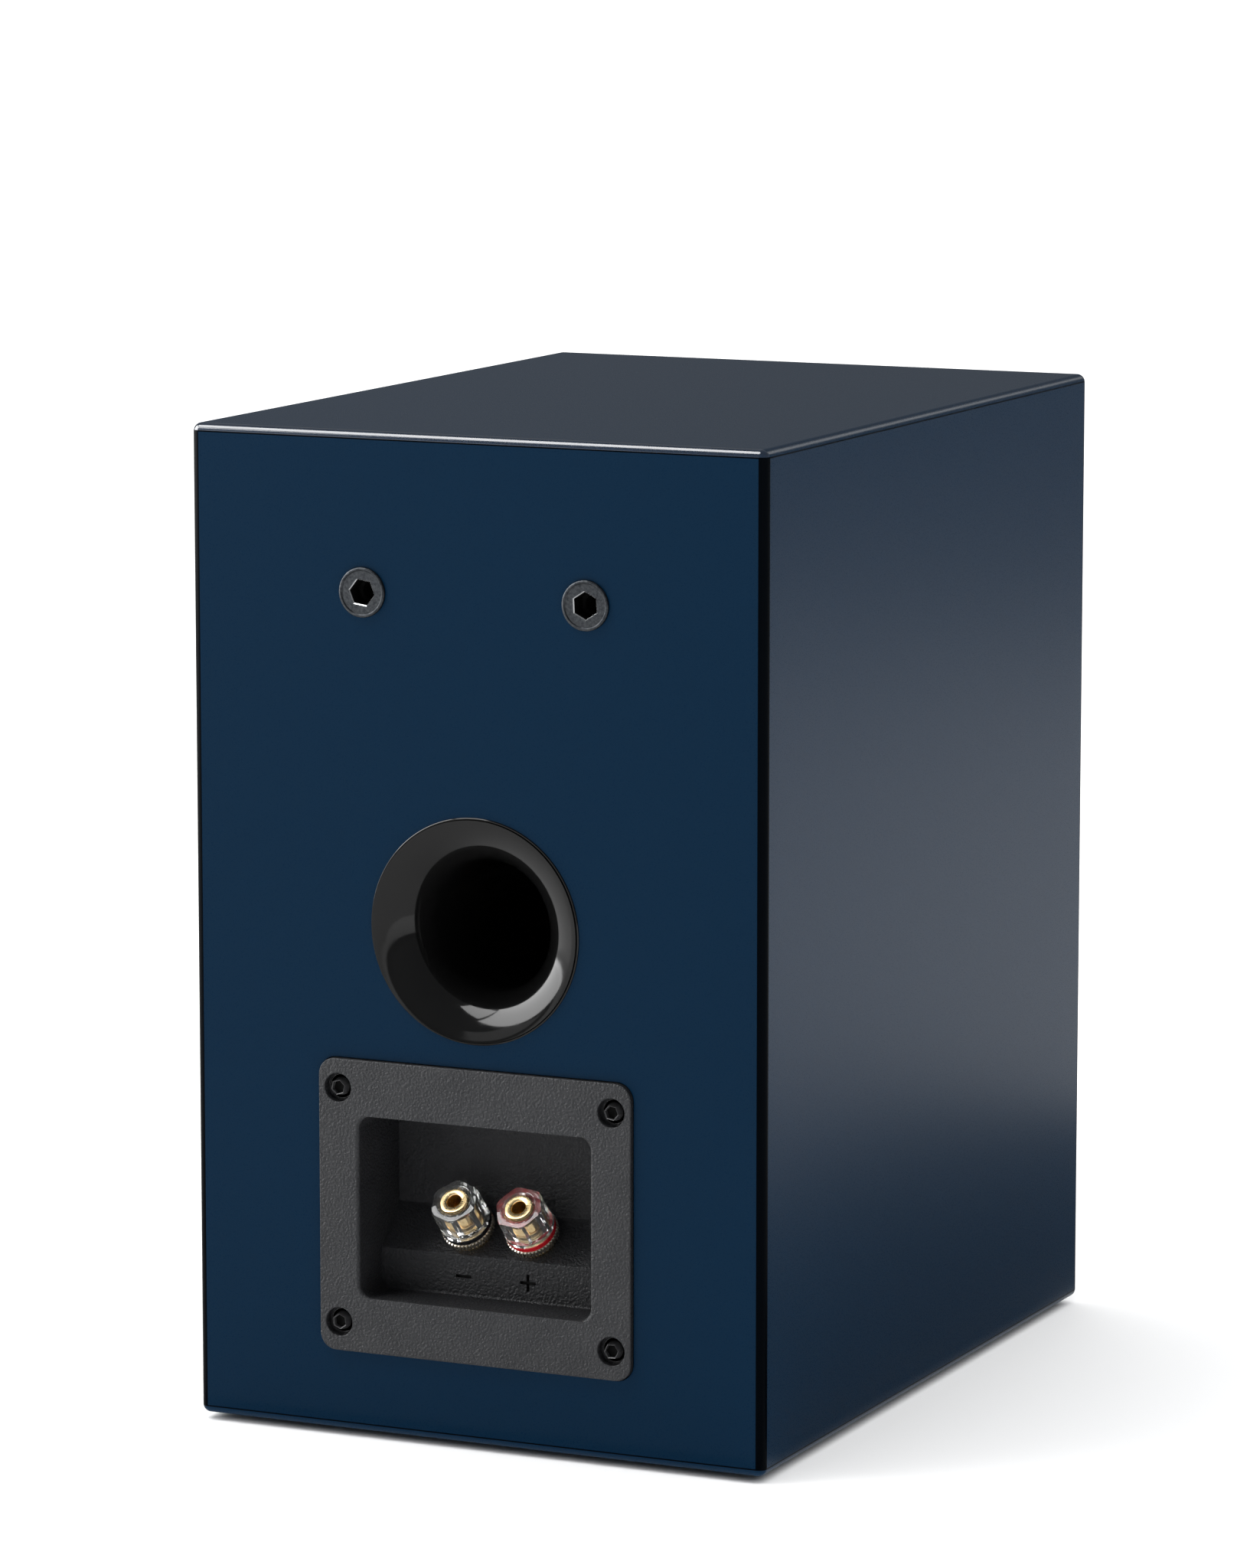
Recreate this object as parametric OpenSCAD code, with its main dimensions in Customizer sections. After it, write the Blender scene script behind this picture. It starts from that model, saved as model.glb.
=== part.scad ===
// Two-way bass-reflex bookshelf loudspeaker in a lacquered cabinet.
// Millimetres, +Z up. The origin is under the middle of the cabinet, on the surface that the feet
// stand on. The drivers face -Y, and the port, terminals and wall fixings are on the +Y side.

/* [Cabinet] */
// Width of the cabinet
cab_w = 180; // [176:1:210]
// Height of the cabinet, feet not counted
cab_h = 291; // [288:1:320]
// Depth from the front baffle's face to the back panel's face
cab_d = 246.5; // [240:0.5:290]
// Radius of the lacquered outer edges
edge_r = 2.5; // [1:0.5:4]
// Thickness of the top, bottom and side panels
wall_t = 15; // [12:1:16]
// Thickness of the front baffle
baffle_t = 18; // [18:1:22]
// Thickness of the back panel
back_t = 15; // [15:1:18]
// Thickness of the cross brace
brace_t = 12; // [9:1:12]
// Width of the cross brace from front to back
brace_w = 40; // [30:5:50]

/* [Feet] */
// Diameter of each rubber foot
foot_d = 14; // [10:1:18]
// Height of each rubber foot
foot_h = 2; // [1.5:0.5:3]
// Distance from a cabinet edge to a foot's axis
foot_inset = 20; // [14:1:30]

/* [Port] */
// Height of the port's axis above the cabinet's underside
port_up = 149.75; // [148:0.25:152]
// Inner radius of the port tube
port_r = 19; // [18:0.5:19]
// Radius of the flare's curve
flare_r = 14.5; // [14:0.5:14.5]
// Outer radius of the port's rim
port_rim_r = 32.8; // [32.8:0.1:34]
// Length of the port from its rim to its inner end
port_len = 121; // [90:1:125]

/* [Wall fixings] */
// Height of the threaded inserts above the cabinet's underside
insert_up = 245; // [240:1:260]
// Distance between the two inserts
insert_pitch = 70; // [60:1:90]
// Radius of an insert's flange
insert_flange_r = 7.2; // [6.5:0.1:8]
// Width across the flats of an insert's hexagon
insert_af = 6.8; // [6:0.1:7]
// Radius of an insert's threaded hole
insert_bore_r = 2.5; // [2:0.1:3]

/* [Terminal cup] */
// Height of the cup's centre above the cabinet's underside
cup_up = 66.8; // [64:0.1:68]
// Width of the cup's face plate
plate_w = 98.9; // [96:0.1:104]
// Height of the cup's face plate
plate_h = 86; // [84:0.1:88]
// How far the face plate stands out of the back panel
plate_proud = 1.5; // [1:0.1:2]
// Distance between screws across the plate
cup_screw_x = 86.6; // [85:0.1:88]
// Distance between screws up the plate
cup_screw_z = 69; // [68:0.1:71]
// Width of the recess
recess_w = 73.5; // [68:0.5:74]
// Height of the recess
recess_h = 53.5; // [52:0.5:54]

/* [Binding posts] */
// Distance between the two binding posts
post_pitch = 20.6; // [19:0.1:24]
// Height of a stud's tip above the sloping shelf
post_h = 16.8; // [16:0.1:18]
// Radius of the banana plug's socket
socket_r = 2.1; // [2:0.05:2.3]
// Radius of a clamping nut's toothed rim
knurl_r = 7.9; // [7:0.1:8.4]
// Number of teeth round a clamping nut
knurl_teeth = 44; // [30:1:60]

/* [Woofer] */
// Height of the woofer's axis above the cabinet's underside
woofer_up = 97; // [97:0.5:99]
// Outer radius of the woofer's flange
woofer_r = 74; // [74:0.5:76]
// How far the surround's roll stands out of the baffle
roll_proud = 1.5; // [1:0.1:2]

/* [Tweeter] */
// Height of the tweeter's axis above the cabinet's underside
tweeter_up = 227; // [225:0.5:229]
// Radius of the tweeter's face plate
tweeter_r = 50; // [48:0.5:50]
// Radius of the dome
dome_r = 12.6; // [12:0.1:13]

/* [Hidden] */
$fn = 96;

// Cabinet planes
front_y = -cab_d / 2;
back_y = cab_d / 2;
top_z = foot_h + cab_h;
room_x = cab_w / 2 - wall_t;
room_front = front_y + baffle_t;
room_back = back_y - back_t;
room_floor = foot_h + wall_t;
room_ceiling = top_z - wall_t;
past = 5; // how far a cutter runs past an outer face

// Heights above the surface that the feet stand on
port_z = foot_h + port_up;
insert_z = foot_h + insert_up;
cup_z = foot_h + cup_up;
woofer_z = foot_h + woofer_up;
tweeter_z = foot_h + tweeter_up;
brace_z = port_z + port_r + 3.75;
brace_y = -2;

// Port: rim, stepped neck and tube, as radii and depths below the back panel's face
rim_proud = 1;
neck_r = 31.4;
neck_depth = 3.5;
step_r = 26.5;
step_depth = 8.5;
tube_wall = 2.5;

// Terminal cup: depths are measured from the back panel's face into the cabinet
plate_t = 4.5;
plate_sink = plate_t - plate_proud;
gasket_t = 0.5;
plate_corner = 5;
recess_corner = 4;
cup_wall = 2.5;
low_wall = 13;
back_wall = 24.5;
shelf_low = 12;  // height of the shelf's lower edge above the recess floor
recess_floor = cup_z - recess_h / 2;
recess_roof = cup_z + recess_h / 2;
shelf_rise = back_wall - low_wall;
mark_depth = 0.8;
mark_size = 5;
mark_stroke = 0.9;
mark_up = 5.8;

// Socket-head screws of the cup
cup_head_r = 3.55;
cup_shank_r = 1.95;
counterbore_r = 4.2;
head_sink = 0.2;
head_t = 2.5;

// Binding post, measured along its own axis from the sloping shelf
post_depth = 18.6;
post_up = 17.6;
stud_r = 4.2;
stud_back = -11;
collar_r = 6.5;
collar_t = 1.2;
nut_low = 2.1;
nut_rim_t = 2.5;
shank_r = 3.5;
tip_low = 13.6;
sleeve_r = 4.25;
sleeve_top = 9.5;
ring_low = nut_low + nut_rim_t + 0.05;
ring_t = 1.7;
ring_r = 7.6;
cap_low = ring_low + ring_t + 0.05;
cap_flange_r = 7.6;
cap_flange_t = 1.6;
cap_hex_r = 7.55;
cap_top = 16.5;
cap_bore_r = 4.3;
cap_mouth_r = 5.2;
socket_depth = 12;

// Woofer, measured outwards from the baffle's face
flange_t = 4;
seat_depth = flange_t + gasket_t;
woofer_hole_r = 66.6;
woofer_screw_r = 69.8;
roll_r = 5.5;
roll_mid = 52.9;
lip_z = roll_proud - roll_r;
rubber_t = 0.8;
cone_r = 44.6;
cone_rim_z = lip_z - rubber_t - 0.05;
cone_drop = 22;
cone_t = 0.7;
neck_coil_r = 13.3;
dust_cap_r = 19;
dust_cap_h = 6;
spider_z = -32.7;
gap_z = -49;
top_plate_t = 5;
magnet_t = 15;
yoke_t = 5;

// Tweeter, measured outwards from the baffle's face
tweeter_hole_r = 37;
tweeter_screw_r = 43.5;
dome_z = -4.9;
dome_h = 4.1;
silk_t = 0.3;

// Crossover board
board_z = room_floor + 6;
board_t = 1.6;
board_x = 55;
board_y0 = -15;
board_y1 = 84;
board_top = board_z + board_t;

// Routes of the inner wires, one side; the other conductor is the mirror image or a shifted copy
wire_r = 1.4;
lead_r = 0.6;
input_route = [[10.3, 92.13, 67], [10.3, 88, 71.1], [10.6, 83, 69], [12, 80, 59], [14, 77, 44], [15, 75, 32],
               [15, 75, board_top]];
woofer_route = [[4.2, -82, 45], [5, -82, 40], [7, -72, 33], [9, -45, 30], [10, -24, 36], [10, -12, 35],
                [10, -9, 30], [10, -9, board_top]];
tweeter_route = [[2.6, -102, 195.6], [3, -92, 195], [14, -74, 199], [32, -52, 198], [39, -42, 183],
                 [41, -32, 150], [43, -14, 100], [48, -3, 60], [50.5, 2, 36], [50.5, 2, board_top]];
tinsel_route = [[6.2, -45, -38], [7, -50, -33], [9, -49, -23], [10, -38, -17.6], [9, -27, -18.6],
                [8, -22.5, -21.2]];

// Points of a circular arc about [cx, cy]
function arc(cx, cy, r, from, to, n = 12) =
    [for (i = [0:n]) let (a = from + (to - from) * i / n) [cx + r * cos(a), cy + r * sin(a)]];
// Outline of a rectangle with round corners
function round_rect(w, h, r) = concat(
    arc(w / 2 - r, h / 2 - r, r, 0, 90, 6), arc(r - w / 2, h / 2 - r, r, 90, 180, 6),
    arc(r - w / 2, r - h / 2, r, 180, 270, 6), arc(w / 2 - r, r - h / 2, r, 270, 360, 6));
// Corners of a regular polygon with n sides and w across the flats
function across_flats(w, n = 6) =
    [for (i = [0:n - 1]) w / 2 / cos(180 / n) * [cos(360 * i / n), sin(360 * i / n)]];

// Smooth curve through a route's points, with steps pieces between neighbours
function on_curve(a, b, c, d, t) =
    0.5 * (2 * b + (c - a) * t + (2 * a - 5 * b + 4 * c - d) * t * t + (3 * b - a - 3 * c + d) * t * t * t);
function smooth(p, steps) = let (last = len(p) - 1) concat(
    [for (i = [0:last - 1], s = [0:steps - 1])
        on_curve(p[max(i - 1, 0)], p[i], p[i + 1], p[min(i + 2, last)], s / steps)],
    [p[last]]);
function unit(v) = v / norm(v);
function heading(p, i) = unit(p[min(i + 1, len(p) - 1)] - p[max(i - 1, 0)]);
// Side vectors carried along the curve without twisting
function carried(p, i, side) = unit(side - (side * heading(p, i)) * heading(p, i));
function sides(p, i = 0, side = [1, 0.1, 0.05]) =
    let (s = carried(p, i, side)) i == len(p) - 1 ? [s] : concat([s], sides(p, i + 1, s));

// Eight-sided tube along a route
module wire(route, r, steps = 4) {
    p = smooth(route, steps);
    u = sides(p);
    n = len(p);
    rings = [for (i = [0:n - 1]) let (v = cross(heading(p, i), u[i]))
        for (k = [0:7]) p[i] + r * (cos(45 * k) * u[i] + sin(45 * k) * v)];
    skin = [for (i = [0:n - 2], k = [0:7])
        [8 * i + k, 8 * i + 8 + k, 8 * i + 8 + (k + 1) % 8, 8 * i + (k + 1) % 8]];
    ends = [[for (k = [0:7]) k], [for (k = [7:-1:0]) 8 * (n - 1) + k]];
    polyhedron(rings, concat(skin, ends), convexity = 8);
}

// Places that local shapes are drawn in: local Z points out of the cabinet
module at_back(x, z) translate([x, back_y, z]) rotate([-90, 0, 0]) children();
module at_front(z) translate([0, front_y, z]) rotate([90, 0, 0]) children();
module at_post(side) translate([side * post_pitch / 2, back_y - post_depth, recess_floor + post_up])
    rotate([-45, 0, 0]) children();
// Repeats its children n times round the local Z axis
module ring_of(n, r, start = 0) for (i = [0:n - 1])
    rotate(start + 360 * i / n) translate([r, 0, 0]) children();
// A disc or tube between two local heights
module disc(r, low, high) translate([0, 0, low]) cylinder(r = r, h = high - low);
module tube(r_in, r_out, low, high) difference() {
    disc(r_out, low, high);
    disc(r_in, low - 1, high + 1);
}
// A solid across the cabinet's width whose outline is given as [y, z] points
module across(outline, w) rotate([90, 0, 90]) linear_extrude(w, center = true) polygon(outline);
// A box between two corners
module block(low, high) translate(low) cube(high - low);

// Outer form of the whole cabinet: exact flats, rounded edges and ball corners
module rounded_cabinet() {
    size = [cab_w, cab_d, cab_h];
    translate([0, 0, foot_h + cab_h / 2]) hull() {
        for (cut = [[1, 1, 0], [1, 0, 1], [0, 1, 1]]) cube(size - 2 * edge_r * cut, center = true);
        for (x = [-1, 1], y = [-1, 1], z = [-1, 1])
            translate([x * (cab_w / 2 - edge_r), y * (cab_d / 2 - edge_r), z * (cab_h / 2 - edge_r)])
                sphere(r = edge_r, $fn = 24);
    }
}
module panel(low, high) intersection() {
    rounded_cabinet();
    block(low, high);
}
out_x = cab_w / 2 + past;

module top_panel() color("#3c474f")
    panel([-out_x, room_front, room_ceiling], [out_x, room_back, top_z + past]);
module bottom_panel() color("#1f2c3b")
    panel([-out_x, room_front, foot_h - past], [out_x, room_back, room_floor]);
module left_panel() color("#2c3947")
    panel([-out_x, room_front, room_floor], [-room_x, room_back, room_ceiling]);
module right_panel() color("#2c3947")
    panel([room_x, room_front, room_floor], [out_x, room_back, room_ceiling]);

module front_baffle() color("#0e2841") difference() {
    panel([-out_x, front_y - past, foot_h - past], [out_x, room_front, top_z + past]);
    at_front(woofer_z) {
        disc(woofer_r + 0.3, -seat_depth, 1);
        disc(woofer_hole_r, -baffle_t - 1, 0);
        ring_of(6, woofer_screw_r, 30) disc(2, -17, 0);
    }
    at_front(tweeter_z) {
        disc(tweeter_r + 0.3, -seat_depth, 1);
        disc(tweeter_hole_r, -baffle_t - 1, 0);
        ring_of(4, tweeter_screw_r, 45) disc(1.8, -17, 0);
    }
}

module back_panel() color("#0e2841") difference() {
    panel([-out_x, room_back, foot_h - past], [out_x, back_y + past, top_z + past]);
    at_back(0, port_z) {
        disc(neck_r + 0.2, -neck_depth - 0.1, 1);
        disc(step_r + 0.2, -step_depth - 0.1, 0);
        disc(port_r + tube_wall + 0.2, -back_t - 1, 0);
    }
    for (side = [-1, 1]) at_back(side * insert_pitch / 2, insert_z) disc(5.05, -back_t - 1, 1);
    at_back(0, cup_z) {
        translate([0, 0, -plate_sink - gasket_t]) linear_extrude(10)
            polygon(round_rect(plate_w + 0.6, plate_h + 0.6, plate_corner + 0.3));
        translate([0, 0, -back_t - 1]) linear_extrude(back_t)
            polygon(round_rect(recess_w + 2 * cup_wall + 1, recess_h + 2 * cup_wall + 1, recess_corner));
        for (x = [-1, 1], z = [-1, 1])
            translate([x * cup_screw_x / 2, z * cup_screw_z / 2]) disc(2, -13.5, 0);
    }
}

// Bar that ties the two side panels together between the drivers
module cross_brace() color("#a98a62")
    block([-room_x, brace_y - brace_w / 2, brace_z], [room_x, brace_y + brace_w / 2, brace_z + brace_t]);

damping_t = 11;
module side_damping() color("#8d9094") for (side = [-1, 1])
    translate([side * (room_x - damping_t / 2 - 0.1), 5, 102]) cube([damping_t, 180, 140], center = true);
module top_damping() color("#8d9094")
    block([-66, -60, room_ceiling - damping_t], [66, 98, room_ceiling - 0.1]);

module rubber_feet() color("#1c1c1d") for (x = [-1, 1], y = [-1, 1])
    translate([x * (cab_w / 2 - foot_inset), y * (cab_d / 2 - foot_inset), 0]) cylinder(d = foot_d, h = foot_h);

module port_tube() color("#101112") at_back(0, port_z) {
    inner_end = rim_proud - port_len;
    flare_end = 95.5;
    flare_x = port_r + flare_r;
    flare_y = rim_proud - flare_r * sin(flare_end);
    rotate_extrude() polygon(concat(
        arc(flare_x, flare_y, flare_r, 180, flare_end, 16),
        [[port_rim_r, rim_proud - 0.4], [port_rim_r, 0], [neck_r, 0], [neck_r, -neck_depth],
         [step_r, -neck_depth], [step_r, -step_depth], [port_r + tube_wall, -step_depth],
         [port_r + tube_wall, inner_end + 1], [port_r + tube_wall - 0.8, inner_end],
         [port_r + 0.8, inner_end], [port_r, inner_end + 1]]));
}

// Flanged screw-in inserts with a hexagonal mouth and a threaded hole behind it
insert_len = 14;
insert_hex_depth = 5;
insert_proud = 1;
module threaded_inserts() color("#4a4b4b") for (side = [-1, 1])
    at_back(side * insert_pitch / 2, insert_z) difference() {
        rotate_extrude() polygon([
            [insert_bore_r, -insert_len], [5, -insert_len], [5, 0], [insert_flange_r, 0],
            [insert_flange_r, insert_proud - 0.4], [insert_flange_r - 0.35, insert_proud],
            [insert_flange_r - 0.85, insert_proud], [insert_flange_r - 1.05, insert_proud - 0.3],
            [insert_bore_r, insert_proud - 0.3]]);
        rotate(side > 0 ? -8 : 33) translate([0, 0, -insert_hex_depth]) linear_extrude(insert_hex_depth + 2)
            polygon(across_flats(insert_af));
    }

// Side outline of the recess, grown by g all round, as [y, z] points
function recess_outline(g) = let (s = g * tan(22.5), mouth = back_y + plate_proud + 1) [
    [mouth, recess_floor - g], [back_y - low_wall - g, recess_floor - g],
    [back_y - low_wall - g, recess_floor + shelf_low - s],
    [back_y - back_wall - g, recess_floor + shelf_low + shelf_rise - s],
    [back_y - back_wall - g, recess_roof + g], [mouth, recess_roof + g]];
module recess_space(g, inner_end) intersection() {
    across(recess_outline(g), recess_w + 2 * g + 10);
    at_back(0, cup_z) translate([0, 0, -inner_end]) linear_extrude(inner_end + 20)
        polygon(round_rect(recess_w + 2 * g, recess_h + 2 * g, recess_corner + g / 2));
}
module mark(w, h) cube([w, h, 2 * mark_depth], center = true);
module terminal_cup() color("#3e4043") difference() {
    union() {
        at_back(0, cup_z) translate([0, 0, -plate_sink]) linear_extrude(plate_t)
            polygon(round_rect(plate_w, plate_h, plate_corner));
        intersection() {
            recess_space(cup_wall, 40);
            block([-60, 0, 0], [60, back_y - 1, cab_h]);
        }
    }
    recess_space(0, 40);
    at_back(0, cup_z) for (x = [-1, 1], z = [-1, 1]) translate([x * cup_screw_x / 2, z * cup_screw_z / 2]) {
        disc(2.2, -6, 5);
        disc(counterbore_r, plate_proud - head_sink - head_t, 5);
    }
    for (side = [-1, 1]) at_post(side) disc(stud_r + 0.1, -6, 3);
    translate([0, back_y - low_wall, recess_floor + mark_up]) rotate([90, 0, 0]) {
        translate([post_pitch / 2, 0, 0]) mark(mark_size, mark_stroke);
        translate([-post_pitch / 2, 0, 0]) mark(mark_size, mark_stroke);
        translate([-post_pitch / 2, 0, 0]) mark(mark_stroke, mark_size);
    }
}
module terminal_gasket() color("#17181a") at_back(0, cup_z)
    translate([0, 0, -plate_sink - gasket_t]) linear_extrude(gasket_t) difference() {
        polygon(round_rect(plate_w - 1, plate_h - 1, plate_corner));
        polygon(round_rect(recess_w + 2 * cup_wall + 1, recess_h + 2 * cup_wall + 1, recess_corner));
        for (x = [-1, 1], z = [-1, 1]) translate([x * cup_screw_x / 2, z * cup_screw_z / 2]) circle(2.4);
    }

// Socket-head screw whose head is top high; the shank ends at end
module socket_screw(head_r, shank_r, top, t, end, af) difference() {
    union() {
        disc(head_r, top - t, top);
        disc(shank_r, end, top - t / 2);
    }
    translate([0, 0, top - 0.7 * t]) linear_extrude(t) polygon(across_flats(af));
}
module terminal_screws() color("#1b1c1d") at_back(0, cup_z) for (x = [-1, 1], z = [-1, 1])
    translate([x * cup_screw_x / 2, z * cup_screw_z / 2])
        socket_screw(cup_head_r, cup_shank_r, plate_proud - head_sink, head_t, -13, 3.5);

module post_stud(side) color("#d8b45c") at_post(side) difference() {
    union() {
        disc(stud_r, stud_back, collar_t);
        disc(collar_r, 0, collar_t);
        disc(shank_r, 0, post_h);
        disc(stud_r, tip_low, post_h);
    }
    disc(socket_r, post_h - socket_depth, post_h + 1);
    translate([0, 0, 2.6]) rotate([0, 90, 0]) cylinder(r = 1.1, h = 20, center = true);
}
// Clamping nut: a toothed rim that presses on the wire, and the sleeve that carries the cap
function toothed(r, n, depth) = [for (i = [0:n - 1], q = [[-0.14, -1], [0.14, -1], [0.24, 0], [0.76, 0]])
    let (a = 360 * (i + q[0]) / n) (r + depth * q[1]) * [cos(a), sin(a)]];
module clamp_nut(side) color("#d9cfb8") at_post(side) difference() {
    union() {
        translate([0, 0, nut_low]) linear_extrude(nut_rim_t) polygon(toothed(knurl_r, knurl_teeth, 0.6));
        disc(sleeve_r, nut_low, sleeve_top);
    }
    disc(shank_r + 0.06, 0, post_h);
}
module colour_ring(side, tint) color(tint) at_post(side)
    tube(sleeve_r + 0.06, ring_r, ring_low, ring_low + ring_t);
// Clear cap: round flange, hexagonal grip and a bevelled top
module clear_cap(side) color("#e8eef0", 0.45) at_post(side) difference() {
    union() {
        disc(cap_flange_r, cap_low, cap_low + cap_flange_t);
        intersection() {
            translate([0, 0, cap_low]) linear_extrude(cap_top - cap_low)
                polygon(across_flats(2 * cap_hex_r * cos(30)));
            rotate_extrude() polygon([
                [0, cap_low], [cap_hex_r + 0.2, cap_low], [cap_hex_r + 0.2, cap_top - 1.8],
                [cap_hex_r - 0.8, cap_top], [0, cap_top]]);
        }
    }
    disc(cap_bore_r, 0, post_h);
    translate([0, 0, cap_top - 0.8]) cylinder(r1 = cap_bore_r, r2 = cap_mouth_r + 0.1, h = 0.9);
}
module post_washers() color("#26272a") for (side = [-1, 1]) at_post(side)
    tube(stud_r + 0.1, 6.4, -cup_wall - 0.8, -cup_wall);
module solder_tags() color("#c9c9c4") for (side = [-1, 1]) at_post(side) difference() {
    union() {
        disc(6, -cup_wall - 1.5, -cup_wall - 0.8);
        block([-2, -14, -cup_wall - 1.5], [2, 0, -cup_wall - 0.8]);
    }
    disc(stud_r + 0.1, -6, 0);
}
module post_back_nuts() color("#c8a860") for (side = [-1, 1]) at_post(side) difference() {
    translate([0, 0, -cup_wall - 5]) linear_extrude(3.5) polygon(across_flats(12));
    disc(stud_r + 0.1, -9, 0);
}

// Woofer
module woofer_basket() color("#2b2c2e") at_front(woofer_z) difference() {
    rotate_extrude() polygon([
        [woofer_r, -0.4], [woofer_r, -flange_t], [66.3, -flange_t], [66.3, -7], [61.2, -7], [61.2, -13],
        [40.5, -36], [40.5, -46.5], [17.5, -46.5], [17.5, -43.5], [33, -43.5], [33, -33], [37.7, -33],
        [58.2, -11.5], [58.2, lip_z - rubber_t], [64.6, lip_z - rubber_t], [64.6, -0.8], [65.4, 0],
        [woofer_r - 0.4, 0]]);
    ring_of(6, woofer_screw_r, 30) {
        disc(2.1, -8, 1);
        disc(3.3, -2.8, 1);
    }
    for (i = [0:5]) rotate(60 * i - 90) translate([0, 0, -37]) linear_extrude(29)
        polygon(concat(arc(0, 0, 57, -21, 21, 6), arc(0, 0, 42.5, 19, -19, 6)));
}
module woofer_gasket() color("#151617") at_front(woofer_z) difference() {
    tube(woofer_hole_r + 0.1, woofer_r - 0.3, -seat_depth, -flange_t);
    ring_of(6, woofer_screw_r, 30) disc(2.1, -8, 0);
}
module woofer_screws() color("#1b1c1d") at_front(woofer_z) ring_of(6, woofer_screw_r, 30)
    socket_screw(3.15, 1.95, -0.3, 2.5, -16, 2.5);
module woofer_surround() color("#18191a") at_front(woofer_z) rotate_extrude() polygon(concat(
    [[64.4, lip_z - rubber_t], [64.4, lip_z]],
    arc(roll_mid, lip_z, roll_r, 0, 180, 20),
    [[cone_r, lip_z], [cone_r, lip_z - rubber_t], [roll_mid - roll_r + rubber_t, lip_z - rubber_t]],
    arc(roll_mid, lip_z, roll_r - rubber_t, 180, 0, 20),
    [[roll_mid + roll_r - rubber_t, lip_z - rubber_t]]));
function cone_z(r) = cone_rim_z - cone_drop * pow(1 - (r - neck_coil_r) / (cone_r - neck_coil_r), 1.15);
cone_steps = [for (i = [0:14]) neck_coil_r + (cone_r - neck_coil_r) * i / 14];
module woofer_cone() color("#c9c4b6") at_front(woofer_z) rotate_extrude() polygon(concat(
    [for (r = cone_steps) [r, cone_z(r)]],
    [[47.9, cone_rim_z], [47.9, cone_rim_z - cone_t]],
    [for (i = [14:-1:0]) [cone_steps[i], cone_z(cone_steps[i]) - cone_t - 0.2]]));
// Spherical shell over a ring of radius r, as a turned outline
function dome(r, h, t, low) = let (R = (r * r + h * h) / (2 * h), a = asin(r / R), z = low + h - R) concat(
    [for (i = [0:12]) let (q = a * i / 12) [R * sin(q), z + R * cos(q)]],
    [for (i = [12:-1:0]) let (q = a * i / 12) [(R - t) * sin(q), z + (R - t) * cos(q)]]);
module woofer_dust_cap() color("#1d1e20") at_front(woofer_z) rotate_extrude()
    polygon(dome(dust_cap_r, dust_cap_h, 0.5, cone_z(dust_cap_r) + 0.7));
module woofer_voice_coil() color("#b06a34") at_front(woofer_z) rotate_extrude() polygon([
    [12.9, -55], [13.9, -55], [13.9, -43], [13.2, -43], [13.2, cone_z(neck_coil_r)],
    [12.9, cone_z(neck_coil_r)]]);
function spider_mid(r) = spider_z + (r > 15 && r < 32 ? 1.1 * sin(360 * (r - 15) / 4.25) : 0);
spider_steps = [for (i = [0:48]) 13.3 + 24.2 * i / 48];
module woofer_spider() color("#c98f3c") at_front(woofer_z) rotate_extrude() polygon(concat(
    [for (r = spider_steps) [r, spider_mid(r) + 0.25]],
    [for (i = [48:-1:0]) [spider_steps[i], spider_mid(spider_steps[i]) - 0.25]]));
plate_front = gap_z + top_plate_t / 2;
plate_back = gap_z - top_plate_t / 2;
module woofer_top_plate() color("#8f9193") at_front(woofer_z) tube(14.4, 37, plate_back, plate_front);
module woofer_magnet() color("#4b4a4a") at_front(woofer_z) tube(19.5, 40, plate_back - magnet_t, plate_back);
module woofer_yoke() color("#8f9193") at_front(woofer_z) difference() {
    union() {
        disc(37, plate_back - magnet_t - yoke_t, plate_back - magnet_t);
        disc(12.4, plate_back - magnet_t - 1, plate_front);
    }
    disc(4, -100, 0);
}
module woofer_terminals() color("#c6a95c") at_front(woofer_z) {
    block([-9, -43.2, -45.5], [9, -40.6, -36.5]);
    for (side = [-1, 1]) translate([side * 4.2, 0, 0]) block([-2.4, -51, -42], [2.4, -43.2, -41.2]);
}
module woofer_leads() color("#b9885a") at_front(woofer_z)
    for (side = [-1, 1]) mirror([side < 0 ? 1 : 0, 0, 0]) wire(tinsel_route, lead_r, 3);

// Tweeter
module tweeter_faceplate() color("#1f2022") at_front(tweeter_z) difference() {
    rotate_extrude() polygon(concat(
        [[tweeter_r - 0.4, 0], [tweeter_r, -0.4], [tweeter_r, -4], [36, -4], [36, -6], [20, -6], [20, -4.4],
         [16.2, -4.4], [16.2, -3.6]],
        [for (i = [1:12]) [16.2 + 23 * i / 12, -3.6 * pow(1 - i / 12, 1.6)]]));
    ring_of(4, tweeter_screw_r, 45) {
        disc(1.9, -8, 1);
        disc(3.15, -2.6, 1);
    }
}
module tweeter_gasket() color("#151617") at_front(tweeter_z) difference() {
    tube(tweeter_hole_r + 0.2, tweeter_r - 0.3, -seat_depth, -4);
    ring_of(4, tweeter_screw_r, 45) disc(1.9, -8, 0);
}
module tweeter_screws() color("#1b1c1d") at_front(tweeter_z) ring_of(4, tweeter_screw_r, 45)
    socket_screw(3, 1.75, -0.3, 2.3, -16, 2.5);
module tweeter_dome() color("#26272a") at_front(tweeter_z) rotate_extrude()
    polygon(dome(dome_r, dome_h, silk_t, dome_z));
module tweeter_surround() color("#1b1c1e") at_front(tweeter_z) rotate_extrude() polygon(concat(
    [[19.6, dome_z - silk_t], [19.6, dome_z]],
    arc(14.35, dome_z, 1.55, 0, 180, 12), [[12.8, dome_z - silk_t], [13.1, dome_z - silk_t]],
    arc(14.35, dome_z, 1.55 - silk_t, 180, 0, 12), [[15.6, dome_z - silk_t]]));
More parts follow.
